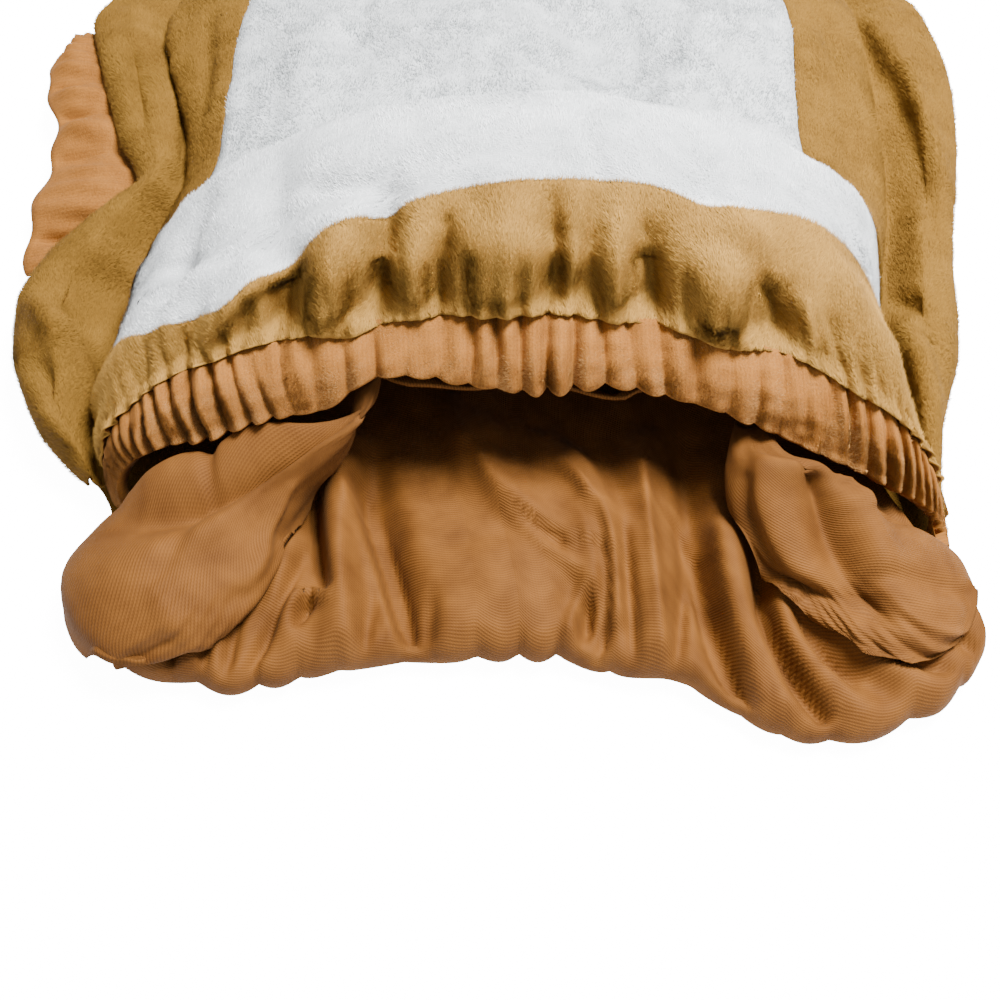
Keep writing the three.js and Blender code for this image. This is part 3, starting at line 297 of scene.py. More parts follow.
LINING_FOLDS = [
    ((-74, 10), (-72, 0), (-80, -12), 4, 5, 3),
    ((-58, 20), (-64, 6), (-58, -8), 4, 4, 4),
    ((-56, 44), (-57, 22), (-53, 2), 4, 4, -6),
    ((-46, 52), (-50, 18), (-44, -12), 4, 8, 8),
    ((-42, 46), (-36, 18), (-28, -8), 5, 5, -8),
    ((-12, 20), (-8, 8), (-6, -6), 17, 17, 4),
    ((-18, 66), (-20, 34), (10, 20), 12, 4, 8),
    ((6, 52), (24, 36), (20, 0), 4, 8, 7),
    ((12, 6), (14, 0), (14, -10), 4, 4, -6),
    ((31, 52), (27, 20), (31, -12), 5, 5, 6),
    ((42, 52), (41, 12), (51, -24), 4, 4, -7),
    ((50, 28), (50, 2), (62, -23), 5, 5, 6),
    ((59, 14), (56, -8), (72, -27), 4, 4, -6),
    ((66, 8), (64, -12), (80, -26), 4, 4, 4),
    ((70, 2), (70, -10), (86, -20), 3.5, 3.5, -4),
    ((78, 4), (82, -12), (98, -20), 5, 5, 4),
]
LINING_FINE_FOLDS = [
    ((43, 16), (43, -2), (53, -25), 1.4, 2, -3.6),
    ((58.5, 13), (57, -6), (71, -27), 1.3, 2.2, -3.8),
    ((66, 2), (69, -9), (79, -18), 1.4, 2, -3),
    ((84, -8), (90, -14), (102, -15), 1.5, 2, -2.4),
    ((48, 24), (47, 4), (56, -22), 1.6, 1.6, 1.4),
    ((62, 6), (61, -8), (74, -25), 1.6, 1.6, 1.4),
    ((16, 28), (23, 6), (17.5, -12), 1.3, 2, -4),
    ((9, 41), (19, 30), (21, -3), 1.8, 1.6, 2.2),
    ((15, -4), (15.5, 0), (15.5, 4), 1.5, 1.5, -3),
    ((11, -8), (10, -2), (14, 6), 2, 1.6, 2.6),
    ((-56, 40), (-54, 20), (-50, 5), 1.4, 2, -4.2),
    ((-44, 39), (-36, 22), (-28, -9), 1.6, 3.5, -3.4),
    ((-47, 34), (-39, 16), (-32, -11), 2, 1.6, 2),
    ((-58, 1), (-55, 7), (-50, 2), 1.4, 1.4, 3),
    ((-57, -4), (-55, 1), (-54, 3), 1.3, 1.3, -2.8),
    ((-57, 16), (-61, -2), (-69, -17), 1.2, 2, -2.4),
    ((-16, 47), (-12, 30), (8, 18), 1.4, 3, -2.8),
    ((-13, 40), (-6, 24), (16, 8), 1.6, 2, 1.6),
    ((30, 42), (31, 15), (33, -10), 1.8, 1.8, 1.8),
    ((37, 27), (43, 26), (36, -14), 1.8, 2, -2.6),
    ((24, 20), (26, 0), (26, -12), 1.6, 1.8, -2.2),
    ((-24, 4), (-24, -4), (-25, -9), 2, 2, -1.6),
    ((-40, 2), (-40, -6), (-41, -12), 2, 2, -2),
    ((-78, 2), (-79, -8), (-80, -16), 1.8, 1.8, -2.4),
    ((-86, 0), (-87, -8), (-88, -16), 1.6, 2, -2),
    ((-71, 4), (-73, -6), (-74, -16), 1.6, 1.6, -2),
    ((98, 4), (106, -4), (110, -12), 1.8, 1.8, -2),
]

# %% [markdown]
# At both corners of the hem the lining spills out in a pouch. A pouch is a row of sections along it.
# Each has an end tucked under the casing, an end that lies on the back lining, and the way the cloth
# bulges between them. Its folds are placed by mm across, 25 at the end that lies on the lining, and by
# mm along.

# %% The two pouches
LEFT_POUCH = [
    dict(at=0, tuck=(-36, 51, 46), lay=(-43, 51, 41), bulge=(-1, -3, 1)),
    dict(at=0.08, tuck=(-39, 43, 41), lay=(-46, 41, 29), bulge=(-2, -4, 3)),
    dict(at=0.2, tuck=(-50, 38, 37), lay=(-55, 33, 18), bulge=(-3, -6, 6)),
    dict(at=0.4, tuck=(-66, 36, 27), lay=(-61, 21, 16), bulge=(-4, -6, 9)),
    dict(at=0.6, tuck=(-83, 33, 20), lay=(-66, 7, 15), bulge=(-6, -7, 12)),
    dict(at=0.8, tuck=(-99, 29, 14), lay=(-76, -7, 13), bulge=(-9, -7, 13)),
    dict(at=0.93, tuck=(-107, 25, 10), lay=(-87, -12, 12), bulge=(-15, -7, 6)),
    dict(at=1, tuck=(-109, 20, 4), lay=(-90, -13, 11), bulge=(-15, -6, -3)),
]
RIGHT_POUCH = [
    dict(at=0, tuck=(60, 45, 33), lay=(53, 46, 31), bulge=(0, -3, 1)),
    dict(at=0.08, tuck=(64, 35, 33.5), lay=(51, 39, 30), bulge=(0, -4, 4)),
    dict(at=0.2, tuck=(73, 31, 33), lay=(50, 33, 26), bulge=(0, -4, 9)),
    dict(at=0.4, tuck=(81, 28, 26), lay=(52, 22, 19), bulge=(0, -4, 12)),
    dict(at=0.6, tuck=(90, 26, 20), lay=(60, 6, 16), bulge=(1, -4, 11)),
    dict(at=0.8, tuck=(99, 22.5, 16), lay=(74, -6, 15), bulge=(3, -4, 10)),
    dict(at=0.93, tuck=(106, 18, 13), lay=(87, -15, 14), bulge=(8, -4, 6)),
    dict(at=1, tuck=(109, 14, 11), lay=(98, -13, 13), bulge=(7, -1, 1)),
]
LEFT_POUCH_FOLDS = [
    ((-25, 14), (-12, 36), (-23, 62), 6, 6, -7),
    ((-18, 12), (2, 36), (-16, 62), 5, 5, 2.5),
    ((14, 38), (10, 50), (12, 64), 4, 5, -2),
]
LEFT_POUCH_FINE_FOLDS = [
    ((-22, 16), (-17, 28), (-19, 35), 3, 3, -2),
    ((-20, 41), (-16, 48), (-18, 57), 3, 3, -2),
    ((-24, 38), (-18, 38), (-10, 40), 1.6, 1.6, 2),
    ((-17, 14), (-3, 36), (-12, 59), 3, 4, 3.5),
    ((-8, 44), (0, 50), (2, 58), 2, 2, 1.4),
    ((-6, 16), (6, 34), (4, 60), 4, 6, 1.2),
    ((2, 20), (12, 32), (14, 46), 2, 2.5, -2),
    ((18, 34), (20, 44), (14, 58), 2, 2.5, -1.4),
    ((20, 46), (16, 56), (18, 68), 2, 2, -1.6),
    ((12, 60), (14, 66), (14, 74), 1.6, 1.6, 1.6),
    ((17, 60), (19, 66), (20, 74), 1.6, 1.6, 1.6),
    ((4, 58), (10, 62), (22, 62), 2, 2, -1.2),
]
RIGHT_POUCH_FOLDS = [
    ((-25, 26), (-12, 42), (-24, 52), 5, 5, -6),
    ((-8, 22), (-6, 36), (4, 52), 5, 5, -2.5),
    ((20, 46), (13, 50), (11, 58), 4, 3, -4),
]
RIGHT_POUCH_FINE_FOLDS = [
    ((-12, 14), (-4, 38), (8, 61), 3, 3.5, -4.5),
    ((-17, 30), (-7, 48), (1, 62), 4, 4, 3.5),
    ((-18, 24), (-16, 33), (-12, 41), 1.8, 1.8, 3),
    ((-21, 28), (-20, 36), (-17, 44), 1.8, 1.8, -2.5),
    ((6, 58), (8, 60), (9, 62), 2.4, 2.4, -4),
    ((10, 63), (14, 67), (17, 73), 1.4, 1.4, 1.7),
    ((8, 64), (9, 69), (10, 74), 1.3, 1.3, 1.5),
    ((5, 64), (5, 69), (4, 74), 1.3, 1.3, 1.5),
    ((12, 61), (17, 64), (22, 68), 1.5, 1.5, 1.6),
    ((2, 58), (-4, 64), (-6, 72), 2.2, 2.2, -2),
    ((10, 20), (15, 36), (14, 54), 2.5, 3, -1.8),
    ((2, 8), (8, 26), (10, 46), 4, 3, 1.6),
    ((18, 38), (20, 48), (16, 58), 2, 2, -2),
]

# %% The front lining, from the casing into the garment
FRONT_LINING = [
    dict(y=45, crown=45, left=-92, right=86, foot=17),
    dict(y=56, crown=43, left=-94, right=86, foot=16),
    dict(y=76, crown=50, left=-96, right=84, foot=16),
    dict(y=100, crown=54, left=-94, right=84, foot=15),
    dict(y=120, crown=42, left=-90, right=86, foot=15),
    dict(y=150, crown=34, left=-84, right=84, foot=15),
]
FRONT_LINING_FOLDS = [
    ((22, 58), (20, 64), (16, 76), 12, 9, -8),
    ((48, 58), (48, 64), (44, 76), 8, 8, -7),
    ((-14, 58), (-12, 64), (-10, 76), 9, 9, -5),
]
FRONT_LINING_FINE_FOLDS = [
    ((34, 50), (34, 60), (30, 76), 2, 2, 2.5),
    ((6, 50), (4, 60), (2, 76), 2, 2.5, 2),
    ((-26, 50), (-26, 60), (-24, 76), 3, 2, 2),
    ((62, 52), (62, 64), (60, 76), 2, 2, 1.5),
]

# %% The back panel's outline
BACK = [
    dict(y=12, left=-106, right=108),
    dict(y=40, left=-112, right=110),
    dict(y=60, left=-127, right=114),
    dict(y=85, left=-137, right=118),
    dict(y=105, left=-138, right=120),
    dict(y=125, left=-126, right=120),
    dict(y=140, left=-119, right=121),
    dict(y=170, left=-121, right=122),
    dict(y=200, left=-127, right=123),
    dict(y=235, left=-131, right=125),
    dict(y=262, left=-131, right=124),
]
BACK_TOP = [
    dict(x=-140, y=250),
    dict(x=-84, y=258),
    dict(x=-62, y=262),
    dict(x=-50, y=255),
    dict(x=0, y=252),
    dict(x=50, y=255),
    dict(x=62, y=262),
    dict(x=84, y=258),
    dict(x=130, y=250),
]

# %% The armhole bands: the side sewn to the vest, and the free side
LEFT_ARM_FRONT = [
    dict(y=118, seam_x=-126, seam_z=6, free_x=-146, free_z=5),
    dict(y=128, seam_x=-122, seam_z=8, free_x=-147, free_z=7),
    dict(y=139, seam_x=-115.5, seam_z=15, free_x=-146, free_z=10),
    dict(y=159, seam_x=-123, seam_z=17, free_x=-143, free_z=11),
    dict(y=176, seam_x=-128.5, seam_z=17, free_x=-145, free_z=12),
    dict(y=192, seam_x=-133.5, seam_z=16, free_x=-150, free_z=11),
    dict(y=207, seam_x=-138, seam_z=12, free_x=-148, free_z=8),
    dict(y=218, seam_x=-140, seam_z=11, free_x=-145, free_z=8),
]
LEFT_ARM_BACK = [
    dict(y=126, seam_x=-128, seam_z=2.2, free_x=-141, free_z=2.6),
    dict(y=133, seam_x=-124.5, seam_z=2.2, free_x=-140, free_z=2.6),
    dict(y=141, seam_x=-121.5, seam_z=2.2, free_x=-140, free_z=2.6),
    dict(y=170, seam_x=-121.8, seam_z=2.2, free_x=-141, free_z=2.6),
    dict(y=200, seam_x=-127.8, seam_z=2.2, free_x=-145, free_z=2.6),
    dict(y=222, seam_x=-131, seam_z=2.2, free_x=-142, free_z=2.6),
]
RIGHT_ARM_FRONT = [
    dict(y=136, seam_x=120, seam_z=8, free_x=103, free_z=8),
    dict(y=150, seam_x=121, seam_z=9.6, free_x=104, free_z=9),
    dict(y=200, seam_x=121, seam_z=9, free_x=104, free_z=8.5),
    dict(y=212, seam_x=120, seam_z=7.5, free_x=105, free_z=7.5),
]
RIGHT_ARM_BACK = [
    dict(y=136, seam_x=119, seam_z=4.6, free_x=103, free_z=4.8),
    dict(y=212, seam_x=121, seam_z=4.6, free_x=105, free_z=4.8),
]

# %% [markdown]
# ## Curves and folds
# Straight lines between the rows of a table would give cloth with corners. So every column is made a
# smooth curve through its rows, and cloth points are read from the curves. All of it works on arrays,
# for speed.


# %% Curves through tables
def smooth(x, a, b):
    """A soft step from 0 at a to 1 at b."""
    t = np.clip((np.asarray(x, float) - a) / (b - a), 0, 1)
    return t * t * (3 - 2 * t)


def mix(a, b, t):
    return a + (b - a) * t


def curve(rows, key, column, part=None):
    """A smooth curve through one column of a table, or through one part of a column of points."""
    t = np.array([row[key] for row in rows], float)
    value = np.array([row[column] if part is None else row[column][part] for row in rows], float)
    before, after = np.r_[0, np.arange(len(t) - 1)], np.r_[np.arange(1, len(t)), len(t) - 1]
    slope = (value[after] - value[before]) / (t[after] - t[before])

    def at(x):
        x = np.asarray(x, float)
        inside = np.clip(x, t[0], t[-1])
        i = np.clip(np.searchsorted(t, inside, side="right") - 1, 0, len(t) - 2)
        span = t[i + 1] - t[i]
        s = (inside - t[i]) / span
        early = (1 + 2 * s) * (1 - s) ** 2 * value[i] + s * (1 - s) ** 2 * span * slope[i]
        late = s * s * (3 - 2 * s) * value[i + 1] + s * s * (s - 1) * span * slope[i + 1]
        return early + late + np.minimum(0, x - t[0]) * slope[0]

    return at


def curves(rows, key):
    """Every column of a table as a curve."""
    return {column: curve(rows, key, column) for column in rows[0] if column != key}


# %% Folds and ripples
def fold_lift(folds, a, b):
    """How far a table of folds lifts the cloth at (a, b)."""
    lift = np.zeros(np.broadcast(a, b).shape)
    steps = 10
    for start, bend, end, left, right, height in folds:
        t = np.linspace(0, 1, steps + 1)[:, None]
        path = (1 - t) ** 2 * np.array(start) + 2 * t * (1 - t) * np.array(bend) + t**2 * np.array(end)
        reach = 3 * max(left, right)
        near = (a > path[:, 0].min() - reach) & (a < path[:, 0].max() + reach)
        near &= (b > path[:, 1].min() - reach) & (b < path[:, 1].max() + reach)
        if not near.any():
            continue
        x, y = a[near], b[near]
        best, side, along = np.full(x.shape, 1e9), np.ones(x.shape), np.zeros(x.shape)
        for i in range(steps):
            run = path[i + 1] - path[i]
            share = np.clip(((x - path[i, 0]) * run[0] + (y - path[i, 1]) * run[1]) / (run @ run), 0, 1)
            off_x = x - path[i, 0] - share * run[0]
            off_y = y - path[i, 1] - share * run[1]
            distance = np.hypot(off_x, off_y)
            closer = distance < best
            best = np.where(closer, distance, best)
            side = np.where(closer, run[0] * off_y - run[1] * off_x, side)
            along = np.where(closer, (i + share) / steps, along)
        width = np.where(side > 0, left, right)
        fade = smooth(along, -0.15, 0.3) * (1 - smooth(along, 0.7, 1.15))
        lift[near] += height * np.exp(-((best / width) ** 2)) * (0.35 + 0.65 * fade)
    return lift


def ripple(a, b, scale, seed):
    """Soft uneven waves of about +-1, for cloth that is never quite smooth."""
    dice = np.random.default_rng(seed)
    total = np.zeros(np.broadcast(a, b).shape)
    for _ in range(7):
        turn, phase, size = dice.uniform(0, math.tau), dice.uniform(0, math.tau), dice.uniform(0.6, 1.7)
        total += np.sin((a * math.cos(turn) + b * math.sin(turn)) * math.tau / (scale * size) + phase)
    return total / 3


# %% [markdown]
# ## Surfaces
# A surface takes arrays of (u, v) and gives points with their normals. It has a smooth base, and its
# folds lift it along the base's normals, so that a tight fold can't make the wall cross itself.


# %% Points and normals
def points(x, y, z):
    return np.stack(np.broadcast_arrays(x, y, z), -1).astype(float)


def normals(base, u, v, step_u, step_v):
    across = base(u + step_u, v) - base(u - step_u, v)
    along = base(u, v + step_v) - base(u, v - step_v)
    way = np.cross(across, along)
    return way / np.maximum(np.linalg.norm(way, axis=-1, keepdims=True), 1e-12)


def surface(base, lift, step_u, step_v):
    """Returns (place, normal) of a lifted base as one function."""

    def at(u, v):
        place, way = base(u, v), normals(base, u, v, step_u, step_v)
        return place + lift(place, u, v)[..., None] * way, way

    return at


# %% The front's arch and flanges. u runs from -1 at the left outline to 1 at the right.
front, left_side, right_side = curves(FRONT, "at"), curves(LEFT, "at"), curves(RIGHT, "at")


def side_value(u, at, name):
    return np.where(u < 0, left_side[name](at), right_side[name](at))


def arch_point(u, at, crease):
    share = np.minimum(np.abs(u), ARCH_SHARE)
    turn = share / ARCH_SHARE * math.pi / 2
    y = mix(front["crown_y"](at), side_value(u, at, "y"), 1 - np.cos(turn))
    valley = side_value(u, at, "valley")
    rise = np.maximum(0, np.cos(turn)) ** side_value(u, at, "power")
    return points(crease * np.sin(turn), y, valley + (front["crown_z"](at) - valley) * rise)


def crease_at(u, at):
    return np.where(u < 0, front["crease_l"](at), front["crease_r"](at))


def front_base(u, at):
    u, at = np.broadcast_arrays(np.asarray(u, float), np.asarray(at, float))
    crease = crease_at(u, at)
    edge = np.where(u < 0, front["edge_l"](at), front["edge_r"](at))
    arch = arch_point(u, at, crease)
    way = (np.abs(u) - ARCH_SHARE) / (1 - ARCH_SHARE)
    rim, under, valley = (side_value(u, at, name) for name in ("rim", "under", "valley"))
    side_y = side_value(u, at, "y")
    rim_x = mix(crease, edge, 0.5)
    climb = points(mix(crease, rim_x, 2 * way), side_y, mix(valley, rim, smooth(2 * way, 0, 1)))
    turn = (2 * way - 1) * np.radians(side_value(u, at, "turn"))
    curl_z = (rim + under) / 2 + (rim - under) / 2 * np.cos(turn)
    curl = points(rim_x + (edge - rim_x) * np.sin(turn), side_y, curl_z)
    flange = np.where((way <= 0.5)[..., None], climb, curl)
    return np.where((np.abs(u) <= ARCH_SHARE)[..., None], arch, flange)


# %% [markdown]
# ## Gathers
# Elastic pulls the hem into about sixty gathers on a whole turn of u. A sine would look like corrugated
# iron, and real gathers have round tops, sharp creases and uneven heights. They go on into the plush
# above the casing and fade out there.


# %% The gathers of the hem
def puffs(phase):
    """Gathers with round tops and sharp creases between them, from -1 to 1.2."""
    return 2.2 * np.abs(np.sin(phase / 2 + math.pi / 4)) ** 0.85 - 1


HEM_GATHERS = 60
GATHER_DEPTH = 1.5


def hem_gathers(u, at):
    phase = u * HEM_GATHERS * math.pi + 1.7 * np.sin(u * 9) + 0.8 * np.sin(u * 21)
    sway = 1.4 * np.sin(u * 15) * np.sin(at / 12) + 0.5 * np.sin(u * 43 + at / 7)
    uneven = 0.75 + 0.4 * np.sin(u * 13 + 1) + 0.35 * np.sin(u * 31 + at / 9) + 0.3 * np.sin(u * 57 - at / 6)
    return puffs(phase + sway) * np.clip(uneven, 0.2, 1.6)


def near_corners(u):
    """The gathers are flatter towards both corners of the hem."""
    return 1 - 0.75 * smooth(np.abs(u), 0.5, 0.64)


def hem_lift(u, at):
    round_it = np.sin(np.clip((at + 2) / (CASING_WIDTH + 2), 0, 1) * math.pi)
    return GATHER_DEPTH * hem_gathers(u, at) + 2.6 * round_it - 1.4


def front_lift(place, u, at):
    """Folds, gathers that fade above the casing, and the plush that bulges over the casing's seam."""
    x = place[..., 0]
    past_seam = np.maximum(0, at - CASING_WIDTH)
    gathers = 1.3 * np.exp(-past_seam / 8) * hem_gathers(u, at) * near_corners(u)
    over_band = (hem_lift(u, CASING_WIDTH - 2) + 2.6 - gathers) * (1 - smooth(at, 17.5, 23))
    fine = 0.5 * np.exp(-past_seam / 5) * np.sin(x * 1.9 + 2 * np.sin(x * 0.23))
    folds = fold_lift(FRONT_FOLDS, x, at) + fold_lift(FRONT_FINE_FOLDS, x, at)
    folds = folds * (1 - smooth(at, 205, 235)) + 0.45 * ripple(x, at, 26, 3) + 0.18 * ripple(x, at, 9, 4)
    folds = folds * smooth(at, 15, 23) + over_band
    crease_fade = 1 - 0.95 * np.exp(-(((np.abs(u) - ARCH_SHARE) / 0.035) ** 2))
    bottom_end = 1 - (1 - smooth(at, 23, 34)) * smooth(np.abs(u), ARCH_SHARE - 0.06, ARCH_SHARE + 0.01)
    return (folds + gathers + fine) * crease_fade * bottom_end * (1 - smooth(np.abs(u), 0.86, 0.93))


front_surface = surface(front_base, front_lift, 0.015, 1.0)

# %% The casing, which drops at both ends from the crease to the table
CASING_REACH = ARCH_SHARE + 0.05


def casing_base(u, at):
    u, at = np.broadcast_arrays(np.asarray(u, float), np.asarray(at, float))
    crease = crease_at(u, at)
    arch = arch_point(u, at, crease)
    drop = (np.abs(u) - ARCH_SHARE) / (CASING_REACH - ARCH_SHARE)
    end = points(crease, side_value(u, at, "y"), mix(side_value(u, at, "valley"), 3.9, drop))
    return np.where((np.abs(u) <= ARCH_SHARE)[..., None], arch, end)


def casing_lift(place, u, at):
    fade = (1 - smooth(np.abs(u), ARCH_SHARE - 0.09, ARCH_SHARE)) * near_corners(u)
    small = 0.2 * np.sin(u * 230 + 0.15 * at + 2 * np.sin(u * 17))
    small = small + 0.15 * ripple(place[..., 0], at * 2, 9, 5)
    return (hem_lift(u, at) + small) * fade


casing_surface = surface(casing_base, casing_lift, 0.01, 1.0)


# %% [markdown]
# ## The panels of the front
# The belly, the strip above the hem and the two sides are cut from one surface, so that they meet along
# their seams. Each panel has a domain, which turns a place in its grid, (s, t) from 0 to 1, into the
# surface's (u, at).

# %% The seams as curves
belly_side, belly_hem = curves(BELLY_SIDES, "at"), curve(BELLY_HEM, "x", "at")
front_top, casing_hang = curve(FRONT_TOP, "x", "at"), curve(CASING_HANG, "x", "at")
BELLY_ROWS, SIDE_ROWS = 13, 4


def arch_u(x, at):
    """The u at which the front's arch reaches x."""
    crease = crease_at(x, at)
    limit = ARCH_SHARE - 0.006
    u = np.sign(x) * np.arcsin(np.clip(x / crease, 0, 1)) / (math.pi / 2) * ARCH_SHARE
    return np.clip(u, -limit, limit)


def seam_at(u, edge, start):
    """Finds "at" on a seam that is tabled by x."""
    at = np.full(np.shape(u), float(start))
    for _ in range(6):
        at = edge(front_base(u, at)[..., 0])
    return at


def column_share(s):
    """Columns a little closer at the crown than the arch's own angle gives."""
    k = 2 * s - 1
    return (mix(k, np.arcsin(k) * 2 / math.pi, 0.5) + 1) / 2


def belly_domain(s, t):
    at = mix(52, 240, t)
    for _ in range(6):
        left = arch_u(belly_side["left"](at) + SEAM / 2, at)
        right = arch_u(belly_side["right"](at) - SEAM / 2, at)
        u = mix(left, right, column_share(s))
        at = mix(seam_at(u, belly_hem, 50) + 0.3, seam_at(u, front_top, 240), t**1.3)
    return u, at


# %% The strip above the hem: x, half width and depth of each lump that hangs over the casing
SEAM_LUMPS = ((-78, 5, 1), (-44, 7, 3), (-27, 5, 0.8), (-8, 8, 1.2), (21, 5, 1), (47, 10, 3.5), (80, 6, 1))


def lower_domain(s, t):
    limit = ARCH_SHARE - 0.016
    u = mix(-limit, limit, column_share(s))
    x = front_base(u, 20)[..., 0]
    lumps = sum(size * np.exp(-(((x - middle) / wide) ** 2)) for middle, wide, size in SEAM_LUMPS)
    hang = (1.4 + lumps + 0.4 * np.sin(u * 19)) * (1 - smooth(np.abs(u), 0.6, 0.7))
    return u, mix(CASING_WIDTH + 1.2 - hang, seam_at(u, belly_hem, 50) - SEAM / 2, t)


# %% The sides, which share their rows with the belly so that the two edges of the seam match
def side_domain(side):
    edge_top = float(seam_at(np.array(float(side)), front_top, 238))
    corner = np.array(0.0 if side < 0 else 1.0)
    top_at = float(belly_domain(corner, np.array(1.0))[1])
    start = CASING_WIDTH + 1

    def at(s, t):
        row = t * (BELLY_ROWS + SIDE_ROWS)
        belly_t = np.maximum(0, (row - SIDE_ROWS) / BELLY_ROWS)
        belly_at = belly_domain(np.full(t.shape, float(corner)), belly_t)[1]
        inner_at = np.where(row < SIDE_ROWS, mix(start, belly_at, row / SIDE_ROWS), belly_at)
        outer_at = mix(start + 1, edge_top, (inner_at - start) / (top_at - start))
        seam = belly_side["left" if side < 0 else "right"](inner_at) + side * SEAM / 2
        on_arch = np.where(row > SIDE_ROWS, np.abs(arch_u(seam, inner_at)), 1)
        inner_u = side * np.minimum(on_arch, ARCH_SHARE + 0.008)
        crease_u = side * np.maximum(ARCH_SHARE, np.abs(mix(inner_u, side, 0.3)))
        u = np.where(s < 0.35, mix(inner_u, crease_u, s / 0.35), mix(crease_u, side, (s - 0.35) / 0.65))
        return u, mix(inner_at, outer_at, s)

    return at


# %% The casing and the neck band
def casing_domain(s, t):
    u = mix(-CASING_REACH, CASING_REACH, s)
    scallop = 0.8 * hem_gathers(u, 0) * (1 - smooth(np.abs(u), 0.5, 0.66))
    return u, mix(casing_hang(front_base(u, 0)[..., 0]) - scallop, CASING_WIDTH, t)


def neck_domain(s, t):
    low, high = float(arch_u(np.array(-56.0), 240)), float(arch_u(np.array(56.0), 240))
    u = mix(low, high, s)
    start = seam_at(u, front_top, 240) + 0.5
    return u, mix(start, np.minimum(start + NECK_BAND, 255), t)


def whole(s, t):
    return 2 * s - 1, t


# %% [markdown]
# ## The linings
# The back lining is one sheet that rolls under at its front edge, like the end of a mattress. The first
# fifth of its v goes round that roll, and the rest goes into the garment. A pouch is half an ellipse at
# each section, and where it would sink into the back lining it is lifted to rest on it.

# %% The back lining with its rolled edge
lining_edge, lining = curves(LINING_EDGE, "x"), curves(LINING, "y")
ROLL = 0.2  # the share of v that the roll takes
ROLL_RADIUS = 5
INSIDE = 150  # how far in, in y, the linings go
LOWEST = 5.4  # of the lining's top, over the casing below it


def lining_lift(x, y):
    fine = 1.7 * fold_lift(LINING_FINE_FOLDS, x, y) + 0.35 * ripple(x, y, 14, 11)
    return fold_lift(LINING_FOLDS, x, y) + fine


def lining_top(x, y):
    return np.maximum(LOWEST, lining["height"](y) + lining_lift(x, y))


def lining_base(u, v):
    u, v = np.broadcast_arrays(np.asarray(u, float), np.asarray(v, float))
    x = mix(lining["left"](-5.0), lining["right"](-5.0), (u + 1) / 2)
    low = lining_edge["low"](x)
    wave = puffs(x * 0.47 + 1.8 * np.sin(x * 0.11)) * (0.7 + 0.4 * np.sin(x * 0.07 + 1))
    centre_y = lining_edge["y"](x) + ROLL_RADIUS - 1.1 * wave
    turn = mix(math.radians(-80), math.pi / 2, v / ROLL)
    half = (lining["height"](centre_y) - low) / 2
    rolled = points(x, centre_y - ROLL_RADIUS * np.cos(turn), low + half + half * np.sin(turn))
    y = mix(centre_y, INSIDE, np.maximum(0, (v - ROLL) / (1 - ROLL)) ** 1.25)
    inside = mix(lining["left"](y), lining["right"](y), (u + 1) / 2)
    return np.where((v < ROLL)[..., None], rolled, points(inside, y, lining["height"](y)))


def back_lining_surface(u, v):
    place, way = lining_base(u, v), normals(lining_base, u, v, 0.01, 0.01)
    x, y, z = place[..., 0], place[..., 1], place[..., 2]
    roll = np.clip(v / ROLL, 0, 1)
    folds = np.maximum(LOWEST - z, lining_lift(x, y)) * smooth(roll, 0.1, 1)
    out = (1 - smooth(roll, 0.4, 1)) * 0.5 * folds
    return points(x, y - out, z + folds * smooth(roll, 0.2, 1)), way


# %% The pouches
def pouch_surface(rows, folds, fine, seed):
    ends = {name: [curve(rows, "at", name, part) for part in range(3)] for name in ("tuck", "lay", "bulge")}

    def base(u, at):
        tuck, lay, bulge = (np.stack([f(at) for f in ends[name]], -1) for name in ("tuck", "lay", "bulge"))
        turn = mix(math.radians(-8), math.radians(196), (u + 1) / 2)
        share = ((1 - np.cos(turn)) / 2)[..., None]
        return tuck + (lay - tuck) * share + bulge * np.sin(turn)[..., None]

    def lift(place, u, at):
        a, b = 25 * u, 75 * at
        ribs = 0.22 * np.sin((a - 0.3 * b) * 2.9 + 0.5 * ripple(a, b, 14, seed))
        ribs = ribs * smooth(a, 0, 8) * smooth(b, 46, 60) * (1 - smooth(b, 65, 72))
        extra = fold_lift(fine, a, b) + 0.3 * ripple(a, b, 16, seed) + ribs
        return (fold_lift(folds, a, b) + extra * smooth(at, 0, 0.1)) * smooth(1 - np.abs(u), 0, 0.3)

    return surface(base, lift, 0.02, 0.02)


def settle_on_lining(thickness, drop):
    """Keeps a pouch clear of the back lining, and lets it down to the table over "drop" mm beside it."""

    def settle(place, inner):
        x, y = place[..., 0], place[..., 1]
        left, right = lining["left"](y) - x, x - lining["right"](y)
        past = np.maximum(np.maximum(left, right), lining_edge["y"](x) - y)
        rest_y = np.maximum(y, lining_edge["y"](x) + ROLL_RADIUS)
        around = ((0, 0), (2.5, 0), (-2.5, 0), (0, 2.5), (0, -2.5))
        on_lining = np.max([lining_top(x + dx, rest_y + dy) for dx, dy in around], 0) + 0.6
        beside = mix(0.4, 4, smooth(y, 2, 8))
        floor = mix(on_lining, beside, smooth(past, 2, 2 + drop)) + (0 if inner else thickness)
        return points(x, y, np.maximum(place[..., 2], floor))

    return settle


# %% The front lining, which hangs from the casing as a low arch
front_lining = curves(FRONT_LINING, "y")


def front_lining_base(u, v):
    u, v = np.broadcast_arrays(np.asarray(u, float), np.asarray(v, float))
    turn = u * math.pi / 2
    at_mouth = np.where(u < 0, -front_lining["left"](45.0), front_lining["right"](45.0)) * np.sin(turn)
    y = mix(49 + 6 * smooth(np.abs(at_mouth), 28, 42), INSIDE, v)
    half = np.where(u < 0, -front_lining["left"](y), front_lining["right"](y))
    foot = front_lining["foot"](y)
    z = foot + (front_lining["crown"](y) - foot) * np.maximum(0, np.cos(turn)) ** 0.8
    return points(half * np.sin(turn), y, z)


